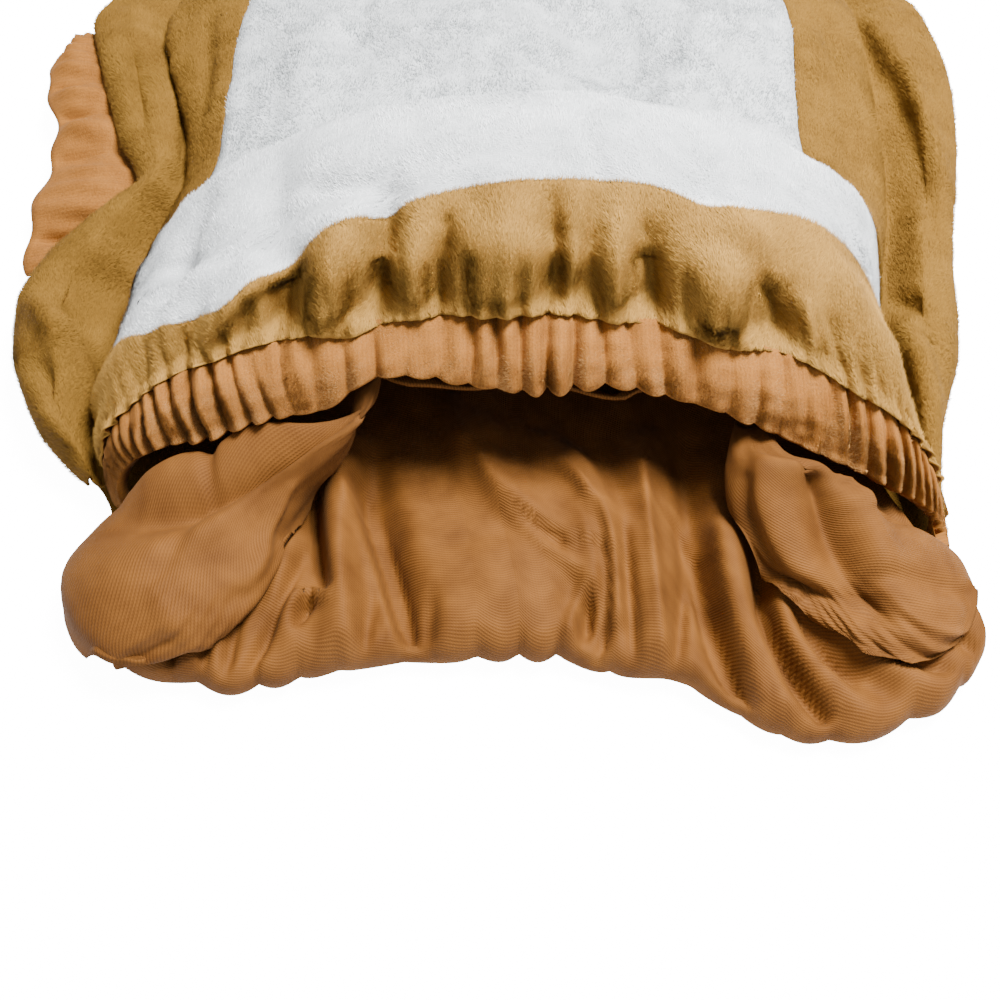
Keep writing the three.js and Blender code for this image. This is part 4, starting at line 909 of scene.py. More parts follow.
def front_lining_lift(place, u, v):
    x, y = place[..., 0], place[..., 1]
    fine = fold_lift(FRONT_LINING_FINE_FOLDS, x, y) + 0.3 * ripple(x, y, 14, 21)
    return fold_lift(FRONT_LINING_FOLDS, x, y) * 1.9 + fine * smooth(v, 0, 0.1)


# %% [markdown]
# ## The back, and the bands
# The back panel lies flat on the table, and the casing's back half lies in front of it. The hem's line
# rises on both sides, where the casing turns up to the front. The armhole bands are gathered by elastic
# like the hem.

# %% The back panel and the casing's back half
def hem_rise(x):
    return np.where(x < 0, 22 * smooth(-x, 60, 108), 8 * smooth(x, 70, 108))


back_outline, back_top = curves(BACK, "y"), curve(BACK_TOP, "x", "y")


def back_base(u, v):
    u, v = np.broadcast_arrays(np.asarray(u, float), np.asarray(v, float))
    y = mix(12, 250, v)
    for _ in range(6):
        x = mix(back_outline["left"](y), back_outline["right"](y), (u + 1) / 2)
        y = mix(12.9 + hem_rise(x), back_top(x), v)
    return points(x, y, 2.0)


def casing_back_base(u, v):
    x = 108 * u
    gather = np.sin(x * 0.66 + 1.4 * np.sin(x * 0.08))
    front_y = np.maximum(-8.4, lining_edge["y"](x) + 5.8) + 0.9 * gather
    return points(x, mix(front_y, 11.2, v) + hem_rise(x), 2.7 + 0.4 * np.sin(v * math.pi) + 0.25 * gather)


# %% The armhole bands and the neck band
def arm_band(rows, gathers, depth):
    """A band that shows is puffed, with its seam tucked under the side. A hidden one has plain waves."""
    table = curves(rows, "y")
    low, high = rows[0]["y"], rows[-1]["y"]
    shows = 1 if depth > 1 else 0

    def base(u, t):
        y, across = mix(low, high, t), (1 - u) / 2
        x = mix(table["seam_x"](y), table["free_x"](y), across)
        z = mix(table["seam_z"](y), table["free_z"](y), across)
        tucked = shows * np.maximum(0, 1 - 5 * across)
        scallop = shows * 1.3 * np.maximum(0, across - 0.6) * np.sin(t * gathers * math.tau + 0.5)
        return points(x + 3.5 * tucked - 2 * scallop, y, z - 2 * tucked)

    def lift(place, u, t):
        turn = t * gathers * math.tau
        wave = puffs(turn + 1.5 * np.sin(t * 11)) if shows else np.sin(turn)
        fine = shows * 0.25 * depth * np.sin(t * gathers * 19 + 3 * np.sin(t * 7) + 2 * u)
        return (depth * wave + fine) * np.sin(math.pi * (0.1 + 0.45 * (1 - u)))

    return surface(base, lift, 0.02, 0.01)


def neck_back_base(u, v):
    x = 46 * u
    return points(x, back_top(x) + 1 + NECK_BAND * v, 2.0)


def flat_lift(place, u, v):
    return np.zeros(place.shape[:-1])


# %% [markdown]
# ## Materials
# Each finish is made of shader nodes alone. The patterns of a cloth follow it through its folds, so
# they read its UV map, which is in units of 100 mm. Cloth is dull: its specular is low, or brown turns
# pink under a bright sky.


# %% A few shader helpers
def new_material(name, roughness):
    material = bpy.data.materials.new(name)
    material.use_nodes = True
    tree = material.node_tree
    shader = tree.nodes["Principled BSDF"]
    shader.inputs["Roughness"].default_value = roughness
    shader.inputs["Specular IOR Level"].default_value = 0.12
    return material, tree, shader


def math_node(tree, operation, a, b=None):
    node = tree.nodes.new("ShaderNodeMath")
    node.operation = operation
    for socket, value in zip(node.inputs, (a, b)):
        if value is None:
            continue
        if isinstance(value, (int, float)):
            socket.default_value = value
        else:
            tree.links.new(value, socket)
    return node.outputs[0]


def ramp(tree, value, *stops):
    node = tree.nodes.new("ShaderNodeValToRGB")
    ends = node.color_ramp.elements
    while len(ends) < len(stops):
        ends.new(0.5)
    for element, (position, color) in zip(ends, stops):
        element.position = position
        element.color = (*color, 1)
    tree.links.new(value, node.inputs[0])
    return node.outputs[0]


def noise(tree, vector, scale, detail=2.0):
    node = tree.nodes.new("ShaderNodeTexNoise")
    node.inputs["Scale"].default_value = scale
    node.inputs["Detail"].default_value = detail
    tree.links.new(vector, node.inputs["Vector"])
    return node.outputs["Fac"]


def bump(tree, shader, height, strength, distance):
    node = tree.nodes.new("ShaderNodeBump")
    node.inputs["Strength"].default_value = strength
    node.inputs["Distance"].default_value = distance
    tree.links.new(height, node.inputs["Height"])
    tree.links.new(node.outputs[0], shader.inputs["Normal"])


def sheen(shader, weight, roughness, tint):
    """The pale rim of light that short fibres give to cloth seen at a slant."""
    shader.inputs["Sheen Weight"].default_value = weight
    shader.inputs["Sheen Roughness"].default_value = roughness
    shader.inputs["Sheen Tint"].default_value = (*tint, 1)


def uv_xy(tree):
    """The UV map as one vector and as its two numbers."""
    coordinates = tree.nodes.new("ShaderNodeUVMap")
    coordinates.uv_map = "UVMap"
    split = tree.nodes.new("ShaderNodeSeparateXYZ")
    tree.links.new(coordinates.outputs[0], split.inputs[0])
    return coordinates.outputs[0], split.outputs[0], split.outputs[1]


# %% [markdown]
# Plush has a knitted backing and a dense pile about 2 mm long. A noise and a bump could pass for it far
# off, but here the single tufts show at every edge. So the pile is real geometry further on, and this
# makes two materials: a patchy backing, and a pile that is dark at its roots and light at its tips. The
# dark roots, and the dark end that the backing mixes in, are painted shade, the shade deep in the pile.

# %% Plush: the backing, and the pile that stands on it
def plush(name, dark, light, sheen_weight, tips=0.5):
    """Returns the backing and the pile. "tips" is how much of a tuft's colour comes from its height, which
    paints shade at its root, and the rest from its tone.
    """
    backing, tree, shader = new_material(name + "_backing", 0.95)
    where, _, _ = uv_xy(tree)
    patches = noise(tree, where, 14, 3)
    # The backing mixes in the dark end, painted shade under the pile, in patches at random.
    low = tuple(0.6 * a + 0.4 * b for a, b in zip(dark, light))
    high = tuple(0.3 * a + 0.7 * b for a, b in zip(dark, light))
    tree.links.new(ramp(tree, patches, (0.3, low), (0.75, high)), shader.inputs["Base Color"])
    bump(tree, shader, noise(tree, where, 160, 2), 0.5, 0.0006)
    sheen(shader, sheen_weight, 0.5, light)

    pile, tree, shader = new_material(name + "_pile", 0.85)
    strand = tree.nodes.new("ShaderNodeAttribute")
    strand.attribute_name = "strand"
    split = tree.nodes.new("ShaderNodeSeparateXYZ")
    tree.links.new(strand.outputs["Vector"], split.inputs[0])
    tone, along = split.outputs[0], split.outputs[1]
    cloth_way = tree.nodes.new("ShaderNodeAttribute")
    cloth_way.attribute_name = "cloth_way"
    tree.links.new(cloth_way.outputs["Vector"], shader.inputs["Normal"])
    # Painted shade: a tuft is dark at its root and light at its tip, and its tone adds the rest.
    height = math_node(tree, "MULTIPLY_ADD", along, tips)
    tree.links.new(math_node(tree, "MULTIPLY", tone, 1 - tips), height.node.inputs[2])
    tree.links.new(ramp(tree, height, (0.05, dark), (0.85, light)), shader.inputs["Base Color"])
    sheen(shader, sheen_weight, 0.5, light)
    return backing, pile


GOLD_DARK, GOLD_LIGHT = (0.14, 0.062, 0.009), (0.46, 0.250, 0.055)
WHITE_DARK, WHITE_LIGHT = (0.17, 0.19, 0.195), (0.95, 0.965, 0.97)
# The sides' gold is the same gold plush at about half its brightness: a darker copy, painted shade on the
# sides and the back panel.
SHADED_GOLD_DARK, SHADED_GOLD_LIGHT = (0.074, 0.032, 0.004), (0.245, 0.126, 0.021)
gold_backing, gold_pile = plush("gold", GOLD_DARK, GOLD_LIGHT, 0.12)
shaded_backing, shaded_pile = plush("shaded_gold", SHADED_GOLD_DARK, SHADED_GOLD_LIGHT, 0.1)
# The white takes three quarters of its colour from its tone, which carries the painted shade behind the
# roll, so its dark end is that shade's grey.
white_backing, white_pile = plush("white", WHITE_DARK, WHITE_LIGHT, 0.2, 0.25)


# %% [markdown]
# The lining is ribbed tricot. Its stitches are small Vs in rows, and the rows of Vs stand in ribs,
# called wales, about 0.75 mm apart. A picture of knit would stretch in the folds, so waves make it: one
# across the wales, and one along them that an absolute value bends into a V. "skew" leans the wales, as
# the bias of the cloth does.

# %% Ribbed tricot
def tricot(name, dark, light, wale, stitch, depth, skew):
    material, tree, shader = new_material(name, 0.72)
    where, x, y = uv_xy(tree)
    leaning = math_node(tree, "ADD", x, math_node(tree, "MULTIPLY", y, skew))
    wales = math_node(tree, "MULTIPLY", leaning, 100 / wale)
    off = math_node(tree, "SUBTRACT", math_node(tree, "FRACT", wales), 0.5)
    vee = math_node(tree, "MULTIPLY", math_node(tree, "ABSOLUTE", off), 1.3)
    rows = math_node(tree, "ADD", math_node(tree, "MULTIPLY", y, 100 / stitch), vee)
    stitches = math_node(tree, "SINE", math_node(tree, "MULTIPLY", rows, math.tau))
    ridge = math_node(tree, "COSINE", math_node(tree, "MULTIPLY", off, math.tau))
    height = math_node(tree, "MULTIPLY_ADD", ridge, 0.36)
    rows_of_vees = math_node(tree, "MULTIPLY_ADD", stitches, 0.13)
    rows_of_vees.node.inputs[2].default_value = 0.5
    tree.links.new(rows_of_vees, height.node.inputs[2])
    # The colour is darker in the knit's grooves and lighter on its wales, painted shade beside the bump,
    # with patches at random from a noise.
    patch = noise(tree, where, 9, 3)
    tint = math_node(tree, "MULTIPLY_ADD", patch, 0.75)
    tree.links.new(math_node(tree, "MULTIPLY", height, 0.26), tint.node.inputs[2])
    tree.links.new(ramp(tree, tint, (0.15, dark), (0.85, light)), shader.inputs["Base Color"])
    bump(tree, shader, height, 1.0, depth)
    sheen(shader, 0.03, 0.4, (1, 0.6, 0.3))
    return material


LINING_DARK, LINING_LIGHT = (0.062, 0.020, 0.003), (0.205, 0.080, 0.016)
lining_cloth = tricot("lining_tricot", LINING_DARK, LINING_LIGHT, 0.8, 0.7, 0.0001, 0.3)
left_cloth = tricot("left_tricot", LINING_DARK, LINING_LIGHT, 0.72, 0.7, 0.00011, -0.7)
right_cloth = tricot("right_tricot", LINING_DARK, LINING_LIGHT, 0.72, 0.7, 0.00011, 0.5)


# %% [markdown]
# The casing and the bands are velour, a short brushed pile with faint ribs across the band. Its bump is
# a fine noise, and a thin fuzz of real tufts is added at its lower edge, where it shows against the
# dark.

# %% Velour: brushed, with faint ribs across the band
def velour(name, dark, light, rib=1.3):
    material, tree, shader = new_material(name, 0.88)
    where, x, _ = uv_xy(tree)
    ribs = math_node(tree, "COSINE", math_node(tree, "MULTIPLY", x, math.tau * 100 / rib))
    fuzz = noise(tree, where, 220, 3)
    patch = noise(tree, where, 12, 2)
    height = math_node(tree, "MULTIPLY_ADD", ribs, 0.05)
    tree.links.new(fuzz, height.node.inputs[2])
    tint = math_node(tree, "MULTIPLY_ADD", height, 0.55)
    tree.links.new(math_node(tree, "MULTIPLY", patch, 0.4), tint.node.inputs[2])
    tree.links.new(ramp(tree, tint, (0.2, dark), (0.75, light)), shader.inputs["Base Color"])
    bump(tree, shader, height, 0.6, 0.00025)
    sheen(shader, 0.06, 0.45, (1, 0.62, 0.32))
    return material


VELOUR_DARK, VELOUR_LIGHT = (0.13, 0.043, 0.006), (0.38, 0.155, 0.032)
band_cloth = velour("band_velour", VELOUR_DARK, VELOUR_LIGHT)
_, velour_pile = plush("velour", VELOUR_DARK, (0.42, 0.21, 0.07), 0.1)
print("materials:", ", ".join(material.name for material in bpy.data.materials))

# %% [markdown]
# ## The shells
# A shell is a grid of points on its surface, a second grid a wall's thickness inside it, and the edge
# between. A bmesh sheet with a Solidify modifier could do it too, but the inner wall has to be settled
# on what lies below it, so both walls are worked out here. Plush is inset by half its thickness, to
# leave room for its pile.


# %% Build a shell
def grid_faces(columns, rows):
    """Faces of the outer wall, of the inner wall and of the edge between them."""
    count = (columns + 1) * (rows + 1)
    grid = np.arange(count).reshape(rows + 1, columns + 1)
    a, b, c, d = grid[:-1, :-1], grid[:-1, 1:], grid[1:, 1:], grid[1:, :-1]
    top = np.stack([a, b, c, d], -1).reshape(-1, 4)
    under = np.stack([a, d, c, b], -1).reshape(-1, 4) + count
    rim = np.concatenate([grid[0, :], grid[1:, -1], grid[-1, -2::-1], grid[-2:0:-1, 0]])
    after = np.roll(rim, -1)
    return top, under, np.stack([rim, rim + count, after + count, after], -1)


def cloth_uv(place, turn_uv):
    """A UV map from the mean lengths of the grid's rows and columns, in units of 100 mm."""
    across = np.linalg.norm(np.diff(place, axis=1), axis=-1).mean(0)
    along = np.linalg.norm(np.diff(place, axis=0), axis=-1).mean(1)
    uv_u = np.broadcast_to(np.r_[0, np.cumsum(across)], place.shape[:2])
    uv_v = np.broadcast_to(np.r_[0, np.cumsum(along)][:, None], place.shape[:2])
    uv = np.stack([uv_v, uv_u] if turn_uv else [uv_u, uv_v], -1).reshape(-1, 2) / 100
    return np.concatenate([uv, uv])


def cloth_area(place):
    corner_a, corner_b = place[1:, 1:] - place[:-1, :-1], place[1:, :-1] - place[:-1, 1:]
    return 0.5 * np.linalg.norm(np.cross(corner_a, corner_b), axis=-1).sum()


def cloth(name, place_at, domain, grid, wall, material, inside, inset=0.0, settle=None, turn_uv=False):
    columns, rows = grid
    s, t = np.meshgrid(np.linspace(0, 1, columns + 1), np.linspace(0, 1, rows + 1))
    u, v = domain(s, t)
    place, way = place_at(u, v)
    outer, inner = place - inset * way, place - wall * way
    if settle:
        outer, inner = settle(outer, False), settle(inner, True)
    top, under, border = grid_faces(columns, rows)
    faces = np.concatenate([top, under, border])
    vertices = np.concatenate([outer.reshape(-1, 3), inner.reshape(-1, 3)])
    vertices = (vertices - [0, HEM_TO_ORIGIN, 0]) / 1000
    corner = place.reshape(-1, 3)[top]
    facing = np.cross(corner[:, 1] - corner[:, 0], corner[:, 3] - corner[:, 0])
    turned = (facing * way.reshape(-1, 3)[top[:, 0]]).sum() < 0
    if turned:
        faces = faces[:, ::-1]
    mesh = bpy.data.meshes.new(name)
    mesh.from_pydata(vertices.tolist(), [], faces.tolist())
    mesh.materials.append(material)
    mesh.materials.append(inside)
    index = np.zeros(len(faces), np.int32)
    index[len(top) : len(top) * 2] = 1
    mesh.polygons.foreach_set("material_index", index)
    mesh.polygons.foreach_set("use_smooth", np.ones(len(faces), bool))
    uv = cloth_uv(place, turn_uv)
    layer = mesh.uv_layers.new(name="UVMap")
    corners = np.empty(len(mesh.loops), np.int32)
    mesh.loops.foreach_get("vertex_index", corners)
    layer.uv.foreach_set("vector", uv[corners].astype(np.float32).ravel())
    mesh.update()
    thing = bpy.data.objects.new(name, mesh)
    bpy.context.collection.objects.link(thing)
    area = cloth_area(place)
    thing["cloth_mm2"], thing["turned"] = float(area), bool(turned)
    print(f"{name}: {columns} x {rows}, {area / 100:.0f} square cm")
    return thing


# %% Keep a shell for each node, with its material's slot
shells = {}


def shell(node, slot, *args, **kwargs):
    shells[node] = (cloth(node + "_cloth", *args, **kwargs), slot)


def flat(base):
    """A surface with no folds of its own."""
    return surface(base, flat_lift, 0.01, 0.01)


# %% [markdown]
# ## The plush pieces
# The belly, the strip above the hem and the two sides are plush, and the real ones are sewn edge to
# edge. Each is a part of the front's surface with a small gap at its seams, which the pile hides. The
# strip has the most columns, because its lower edge follows the gathers. Where a side reaches the back
# panel, it rests on it.

# %% The belly, the strip above the hem, and the sides
PLUSH = 1.8
BACK_TOP_Z = 2.35  # just over the back panel


def over_back(place, inner):
    floor = BACK_TOP_Z + (0.6 * PLUSH if inner else 0)
    return points(place[..., 0], place[..., 1], np.maximum(place[..., 2], floor))


def plush_panel(node, slot, domain, grid, backing):
    shell(node, slot, front_surface, domain, grid, PLUSH, backing, lining_cloth, PLUSH / 2, over_back)


plush_panel("front_belly", "white_plush", belly_domain, (130, 80), white_backing)
plush_panel("front_lower", "gold_plush", lower_domain, (320, 26), gold_backing)
# The sides take the darker copy of the gold plush, which is painted shade.
plush_panel("front_side_left", "gold_plush", side_domain(-1), (60, 100), shaded_backing)
plush_panel("front_side_right", "gold_plush", side_domain(1), (56, 96), shaded_backing)


# %% [markdown]
# ## The hem casing and the back
# The casing is a strip of velour folded over an elastic, so its wall is thicker than the others. Its
# front half needs about nine columns for each gather. Its back half and the back panel lie flat and are
# hardly seen.

# %% The casing's two halves, and the back panel
def band(node, place_at, domain, grid, wall, **more):
    shell(node, "brown_velour", place_at, domain, grid, wall, band_cloth, band_cloth, **more)


band("hem_casing_front", casing_surface, casing_domain, (560, 16), 3.2)
band("hem_casing_back", flat(casing_back_base), whole, (160, 6), 2.7)
# The back panel takes the darker copy of the gold plush too, which is painted shade.
shell("back_panel", "gold_plush", flat(back_base), whole, (40, 50), 2.0, shaded_backing, shaded_backing)


# %% [markdown]
# ## The lining's four parts
# The real lining is one tube, but its back, its front and its two pouches lie so differently that each
# has its own surface. The back's knit runs across the garment, so its UV map is turned.

# %% The back lining, the pouches and the front lining
LINING_WALL = 1.2


def knit(node, place_at, grid, stuff, **more):
    shell(node, "brown_tricot", place_at, whole, grid, LINING_WALL, stuff, stuff, **more)


left_pouch = pouch_surface(LEFT_POUCH, LEFT_POUCH_FOLDS, LEFT_POUCH_FINE_FOLDS, 31)
right_pouch = pouch_surface(RIGHT_POUCH, RIGHT_POUCH_FOLDS, RIGHT_POUCH_FINE_FOLDS, 32)
beside_left, beside_right = settle_on_lining(LINING_WALL, 9), settle_on_lining(LINING_WALL, 2)
knit("lining_back", back_lining_surface, (210, 96), lining_cloth, turn_uv=True)
knit("lining_pouch_left", left_pouch, (130, 84), left_cloth, settle=beside_left)
knit("lining_pouch_right", right_pouch, (130, 84), right_cloth, settle=beside_right)
knit("lining_front", surface(front_lining_base, front_lining_lift, 0.01, 0.01), (96, 40), lining_cloth)

# %% [markdown]
# ## The bands at the armholes and the neck
# Only the front half of the left armhole's band shows, so it alone has deep puffs and a fine grid.

# %% The armhole bands and the neck band
ARM_BANDS = [
    # node, table, gathers, depth and grid
    ("armhole_band_left_front", LEFT_ARM_FRONT, 5, 3.0, (12, 110)),
    ("armhole_band_left_back", LEFT_ARM_BACK, 6, 0.4, (4, 50)),
    ("armhole_band_right_front", RIGHT_ARM_FRONT, 6, 0.5, (4, 50)),
    ("armhole_band_right_back", RIGHT_ARM_BACK, 6, 0.0, (4, 50)),
]
for node, table, gathers, depth, grid in ARM_BANDS:
    band(node, arm_band(table, gathers, depth), whole, grid, 2.0, turn_uv=True)
band("neck_band_front", front_surface, neck_domain, (40, 6), PLUSH, settle=over_back)
band("neck_band_back", flat(neck_back_base), whole, (30, 4), 2.0)

# %% [markdown]
# ## The camera
# It looks down at the hem from the table's near side, at the photo's angle. It is placed before the
# pile, because the pile is thickest where the camera sees it.

# %% Place the camera
ELEVATION, DISTANCE = math.radians(57), 0.430
AIM = (-0.007, 0.042 - HEM_TO_ORIGIN / 1000)  # x and y of the place on the table that it looks at
camera_data = bpy.data.cameras.new("camera")
camera = bpy.data.objects.new("camera", camera_data)
bpy.context.collection.objects.link(camera)
eye = np.array([AIM[0], AIM[1] - DISTANCE * math.cos(ELEVATION), DISTANCE * math.sin(ELEVATION)])
camera.location = eye
camera.rotation_euler = (math.pi / 2 - ELEVATION, 0, 0)
camera_data.lens = 57.35
camera_data.sensor_width = 36
camera_data.clip_start = 0.01
bpy.context.scene.camera = camera

# %% [markdown]
# ## The pile
# Hair curves would be lost in the export, so each tuft is one thin leaning triangle, and a pile is one
# mesh of them made from arrays. A tuft lies along the nap, towards the neck, with swirls where a hand
# has brushed it. It takes its shading from the cloth below it, or a hundred thousand flat triangles
# would sparkle. The unseen parts get fewer.


# %% Read a shell's outer wall, and see what the camera sees
HALF_VIEW = 0.34  # half the picture's width at a distance of 1, and a margin
SLANT = -0.15  # a face that is turned further away than this is hidden
UNSEEN = 0.12  # the share of tufts on what the camera doesn't see


def outer_wall(thing):
    """The quads of a shell's outer wall, and all the shell's vertices."""
    mesh = thing.data
    index = np.empty(len(mesh.polygons), np.int32)
    mesh.polygons.foreach_get("material_index", index)
    quads = np.empty(len(mesh.loops), np.int32)
    mesh.loops.foreach_get("vertex_index", quads)
    quads = quads.reshape(-1, 4)
    verts = np.empty(len(mesh.vertices) * 3, np.float32)
    mesh.vertices.foreach_get("co", verts)
    outer = (index == 0) & (quads.max(1) < len(mesh.vertices) // 2)
    return quads[outer], verts.reshape(-1, 3).astype(float)


def in_view(middle, way):
    """Whether the camera sees a face, with a margin round the picture."""
    to_eye = eye - middle
    distance = np.linalg.norm(to_eye, axis=1)
    ahead = np.array([0, math.cos(ELEVATION), -math.sin(ELEVATION)])
    up = np.array([0, math.sin(ELEVATION), math.cos(ELEVATION)])
    depth = -(to_eye @ ahead)
    tall, wide = -(to_eye @ up) / depth, -to_eye[:, 0] / depth
    framed = (np.abs(tall) < HALF_VIEW) & (np.abs(wide) < HALF_VIEW)
    return framed & ((to_eye * way).sum(1) / distance > SLANT)


# %% Choose the places of the tufts
def plant(thing, count, thicker):
    """Roots of tufts at random on the outer wall, with the cloth's normal and nap at each."""
    quads, verts = outer_wall(thing)
    corner = verts[quads]
    way = np.cross(corner[:, 2] - corner[:, 0], corner[:, 3] - corner[:, 1])
    area = np.linalg.norm(way, axis=1)
    way = way / np.maximum(area[:, None], 1e-12)
    weight = area * np.where(in_view(corner.mean(1), way), 1.0, UNSEEN)
    if thicker is not None:
        weight = weight * thicker(corner.mean(1) * 1000 + [0, HEM_TO_ORIGIN, 0])
    chosen = random.choice(len(quads), count, p=weight / weight.sum())
    a, b = random.random(count)[:, None], random.random(count)[:, None]

    def inside(values):
        return mix(mix(values[:, 0], values[:, 1], a), mix(values[:, 3], values[:, 2], a), b)

    vertex_way = np.zeros_like(verts)
    for k in range(4):
        np.add.at(vertex_way, quads[:, k], way * area[:, None])
    vertex_way /= np.maximum(np.linalg.norm(vertex_way, axis=1, keepdims=True), 1e-12)
    up_way = inside(vertex_way[quads[chosen]])
    up_way /= np.linalg.norm(up_way, axis=1, keepdims=True)
    face = corner[chosen]
    nap = (face[:, 0] - face[:, 3]) * (1 if thing["turned"] else -1)
    nap /= np.maximum(np.linalg.norm(nap, axis=1, keepdims=True), 1e-12)
    return inside(face), up_way, nap


# %% Make a mesh of loose triangles
def tuft_mesh(name, corners, strand, shade, material):
    count = len(corners)
    mesh = bpy.data.meshes.new(name)
    mesh.vertices.add(3 * count)
    mesh.vertices.foreach_set("co", corners.astype(np.float32).ravel())
    mesh.loops.add(3 * count)
    mesh.loops.foreach_set("vertex_index", np.arange(3 * count, dtype=np.int32))
    mesh.polygons.add(count)
    mesh.polygons.foreach_set("loop_start", np.arange(0, 3 * count, 3, dtype=np.int32))
    mesh.polygons.foreach_set("use_smooth", np.ones(count, bool))
    mesh.update(calc_edges=True)
    layer = mesh.attributes.new("strand", "FLOAT_VECTOR", "POINT")
    layer.data.foreach_set("vector", strand.ravel())
    mesh.normals_split_custom_set_from_vertices(shade.tolist())
    layer = mesh.attributes.new("cloth_way", "FLOAT_VECTOR", "POINT")
    layer.data.foreach_set("vector", shade.astype(np.float32).ravel())
    mesh.materials.append(material)
    return mesh


# %% Make one pile
# Painted shade: over this span of y in the frame, the belly's pile turns greyer, as the hollow behind the
# roll.
SHADE_BEHIND_ROLL = (-26, -4)  # y in the frame over which the belly's pile turns greyer


def pile(thing, name, count, material, length, width, lean, wild, bright, painted_shade, thicker):
    root, up_way, nap = plant(thing, count, thicker)
    x, y = root[:, 0] * 1000, root[:, 1] * 1000
    swirl = wild * (ripple(x, y, 38, 51) + 0.6 * ripple(x, y, 13, 52)) + random.normal(0, 0.25, count)
    side = np.cross(up_way, nap)
    nap = nap * np.cos(swirl)[:, None] + side * np.sin(swirl)[:, None]
    side = np.cross(up_way, nap)
    rise = lean + random.normal(0, 0.14, count) + 0.18 * ripple(x, y, 9, 53)
    rise = np.clip(rise, 0.12, 1.3)[:, None]
    long = length * random.uniform(0.65, 1.1, count)[:, None]
    tip = root + long * (nap * np.cos(rise) + up_way * np.sin(rise))
    half_width = side * width * random.uniform(0.7, 1.2, count)[:, None] / 2
    root = root - up_way * 0.0002
    corners = np.stack([root + half_width, root - half_width, tip], 1)
    tone = bright - painted_shade * smooth(y, *SHADE_BEHIND_ROLL) + 0.2 * ripple(x, y, 17, 54)
    tone = tone + random.normal(0, 0.16, count)
    strand = np.zeros((count, 3, 3), np.float32)
    strand[:, :, 0] = np.clip(tone, 0, 1)[:, None]
    strand[:, 2, 1] = 1
    shade = up_way + 0.35 * side * random.normal(0, 1, count)[:, None] - 0.25 * nap
    shade /= np.linalg.norm(shade, axis=1, keepdims=True)
    tufts = bpy.data.objects.new(name, tuft_mesh(name, corners, strand, np.repeat(shade, 3, 0), material))
    bpy.context.collection.objects.link(tufts)
    print(f"{name}: {count} tufts")
    return tufts


# %% The piles, one for each plush piece, and the velour's fuzz
def near_hem(place):
    """Fuzz is thick along the casing's lower edge and thin over the rest of it."""
    u_like = np.abs(place[:, 0]) / 110
    lower = mix(42, np.where(place[:, 0] < 0, 36, 21), 1 - np.sqrt(np.clip(1 - u_like**2, 0, 1)))
    return 0.25 + 2.0 * (1 - smooth(place[:, 1] - lower, 1, 6))


PILES = [
    # node, name, tufts and material, then a tuft's length and width, lean, wildness, brightness and painted
    # shade behind the roll
    ("front_belly", "belly_pile", 140000, white_pile, 0.0014, 0.00027, 0.34, 0.45, 0.95, 0.8),
    ("front_lower", "lower_pile", 135000, gold_pile, 0.0019, 0.00023, 0.42, 0.35, 0.6, 0),
    ("front_side_left", "side_left_pile", 105000, shaded_pile, 0.0017, 0.00026, 0.36, 0.45, 0.55, 0),
    ("front_side_right", "side_right_pile", 92000, shaded_pile, 0.0017, 0.00026, 0.36, 0.45, 0.5, 0),
    ("hem_casing_front", "casing_fuzz", 72000, velour_pile, 0.0008, 0.00018, 0.6, 0.9, 0.5, 0),
    ("armhole_band_left_front", "arm_fuzz", 12000, velour_pile, 0.0007, 0.0001, 0.7, 0.9, 0.2, 0),
]
piles = {}
for node, *row in PILES:
    piles[node] = [pile(shells[node][0], *row, near_hem if node == "hem_casing_front" else None)]

# %% [markdown]
# ## Put each piece on the root
# Cloth has no joints, so all of it rides on the root. Each shell replaces its solid, which is hidden, and
# is a sheet that lies on the table, or one that elastic gathers. A pile rides on the root with its sheet.

# %% The cut of what shows of each piece, width and length in metres
FLAT = {
    "front_belly": (0.29, 0.24),
    "front_lower": (0.36, 0.05),
    "front_side_left": (0.13, 0.26),
    "front_side_right": (0.13, 0.26),
    "hem_casing_front": (0.34, 0.025),
    "hem_casing_back": (0.23, 0.03),
    "back_panel": (0.26, 0.25),
    "lining_back": (0.26, 0.19),
    "lining_pouch_left": (0.1, 0.06),
    "lining_pouch_right": (0.08, 0.05),
    "lining_front": (0.24, 0.11),
    "armhole_band_left_front": (0.11, 0.022),
    "armhole_band_left_back": (0.1, 0.016),
    "armhole_band_right_front": (0.08, 0.018),
    "armhole_band_right_back": (0.08, 0.017),
    "neck_band_front": (0.14, 0.014),
    "neck_band_back": (0.1, 0.014),
}

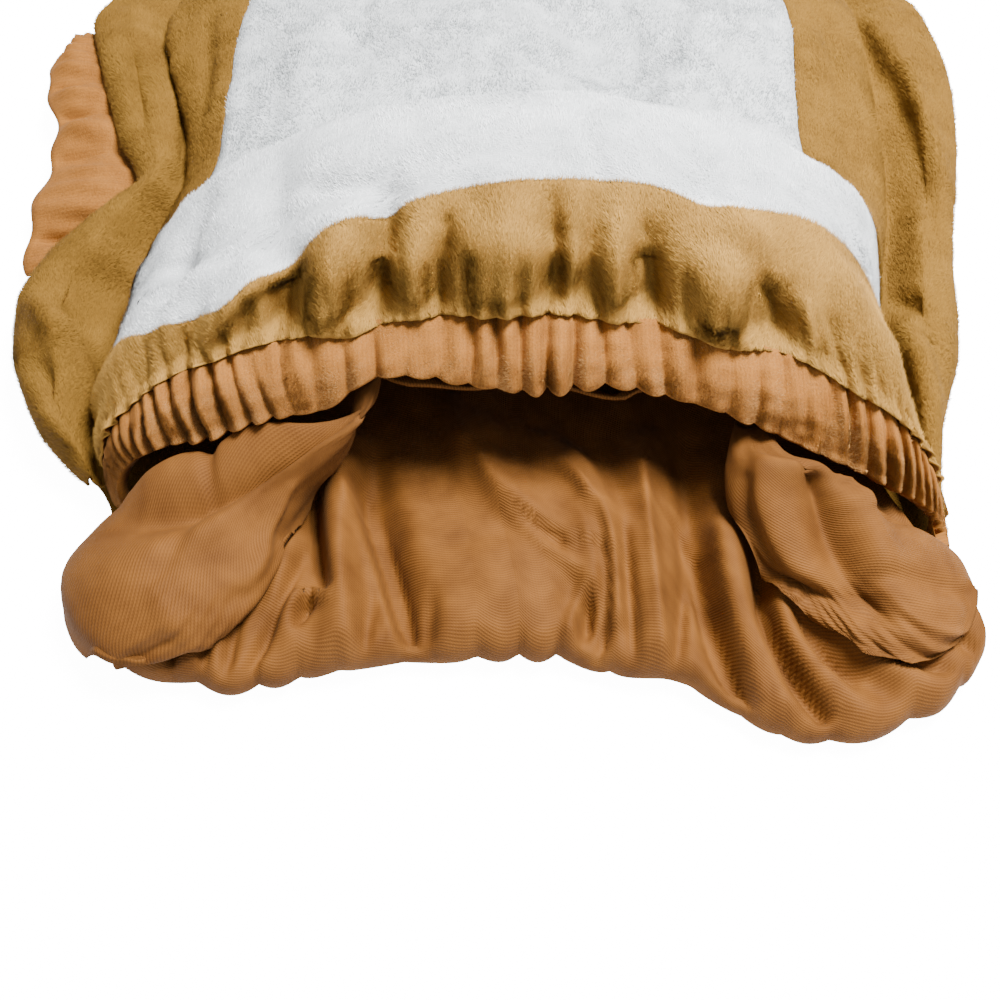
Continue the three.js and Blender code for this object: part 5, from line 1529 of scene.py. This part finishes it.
# %% Every shell is a sheet of cloth on the root
for node, (thing, slot) in shells.items():
    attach(thing, "root")
    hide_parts(node)
    extra = piles.get(node, [])
    for more in extra:
        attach(more, "root")
    wide, long = FLAT[node]
    area = thing["cloth_mm2"] / 1e6
    print(f"{node}: cloth {area:.4f} square m, cut {wide * long:.4f}")
    held = "gathered" if "casing" in node or "arm" in node else "laid"
    area = min(area, wide * long)

# %% [markdown]
# ## The table and the light
# The photo's table is pure white. A white floor lit like the vest renders grey, so it also glows, but
# only for the camera, and no glow falls on the cloth. One large lamp stands nearly above, a little
# behind and to the right. From there it can't shine into the hem, so the mouth stays as dark as it is.

# %% A white table
FLOOR_GLOW = 14
floor_mesh = bpy.data.meshes.new("floor")
floor_mesh.from_pydata([(-3, -3, 0), (3, -3, 0), (3, 3, 0), (-3, 3, 0)], [], [(0, 1, 2, 3)])
floor = bpy.data.objects.new("floor", floor_mesh)
bpy.context.collection.objects.link(floor)
floor.location.z = -0.0003
floor_material, floor_tree, floor_shader = new_material("floor_white", 0.9)
floor_shader.inputs["Base Color"].default_value = (0.75, 0.75, 0.75, 1)
light_path = floor_tree.nodes.new("ShaderNodeLightPath")
glow = math_node(floor_tree, "MULTIPLY", light_path.outputs["Is Camera Ray"], FLOOR_GLOW)
floor_shader.inputs["Emission Color"].default_value = (1, 1, 1, 1)
floor_tree.links.new(glow, floor_shader.inputs["Emission Strength"])
floor_mesh.materials.append(floor_material)

# %% A soft sky and one lamp
world = bpy.data.worlds.new("world")
world.use_nodes = True
sky = world.node_tree.nodes["Background"]
sky.inputs["Color"].default_value = (0.96, 0.98, 1, 1)
sky.inputs["Strength"].default_value = 0.62
bpy.context.scene.world = world


def area_light(name, place, target, size, energy):
    light = bpy.data.lights.new(name, "AREA")
    light.size, light.energy = size, energy
    thing = bpy.data.objects.new(name, light)
    bpy.context.collection.objects.link(thing)
    thing.location = place
    way = np.array(target, float) - np.array(place, float)
    way /= np.linalg.norm(way)
    thing.rotation_euler = (math.acos(-way[2]), 0, math.atan2(way[0], -way[1]))


area_light("key", place=(0.32, 0.04, 1.0), target=(0, -0.02, 0), size=0.4, energy=55)
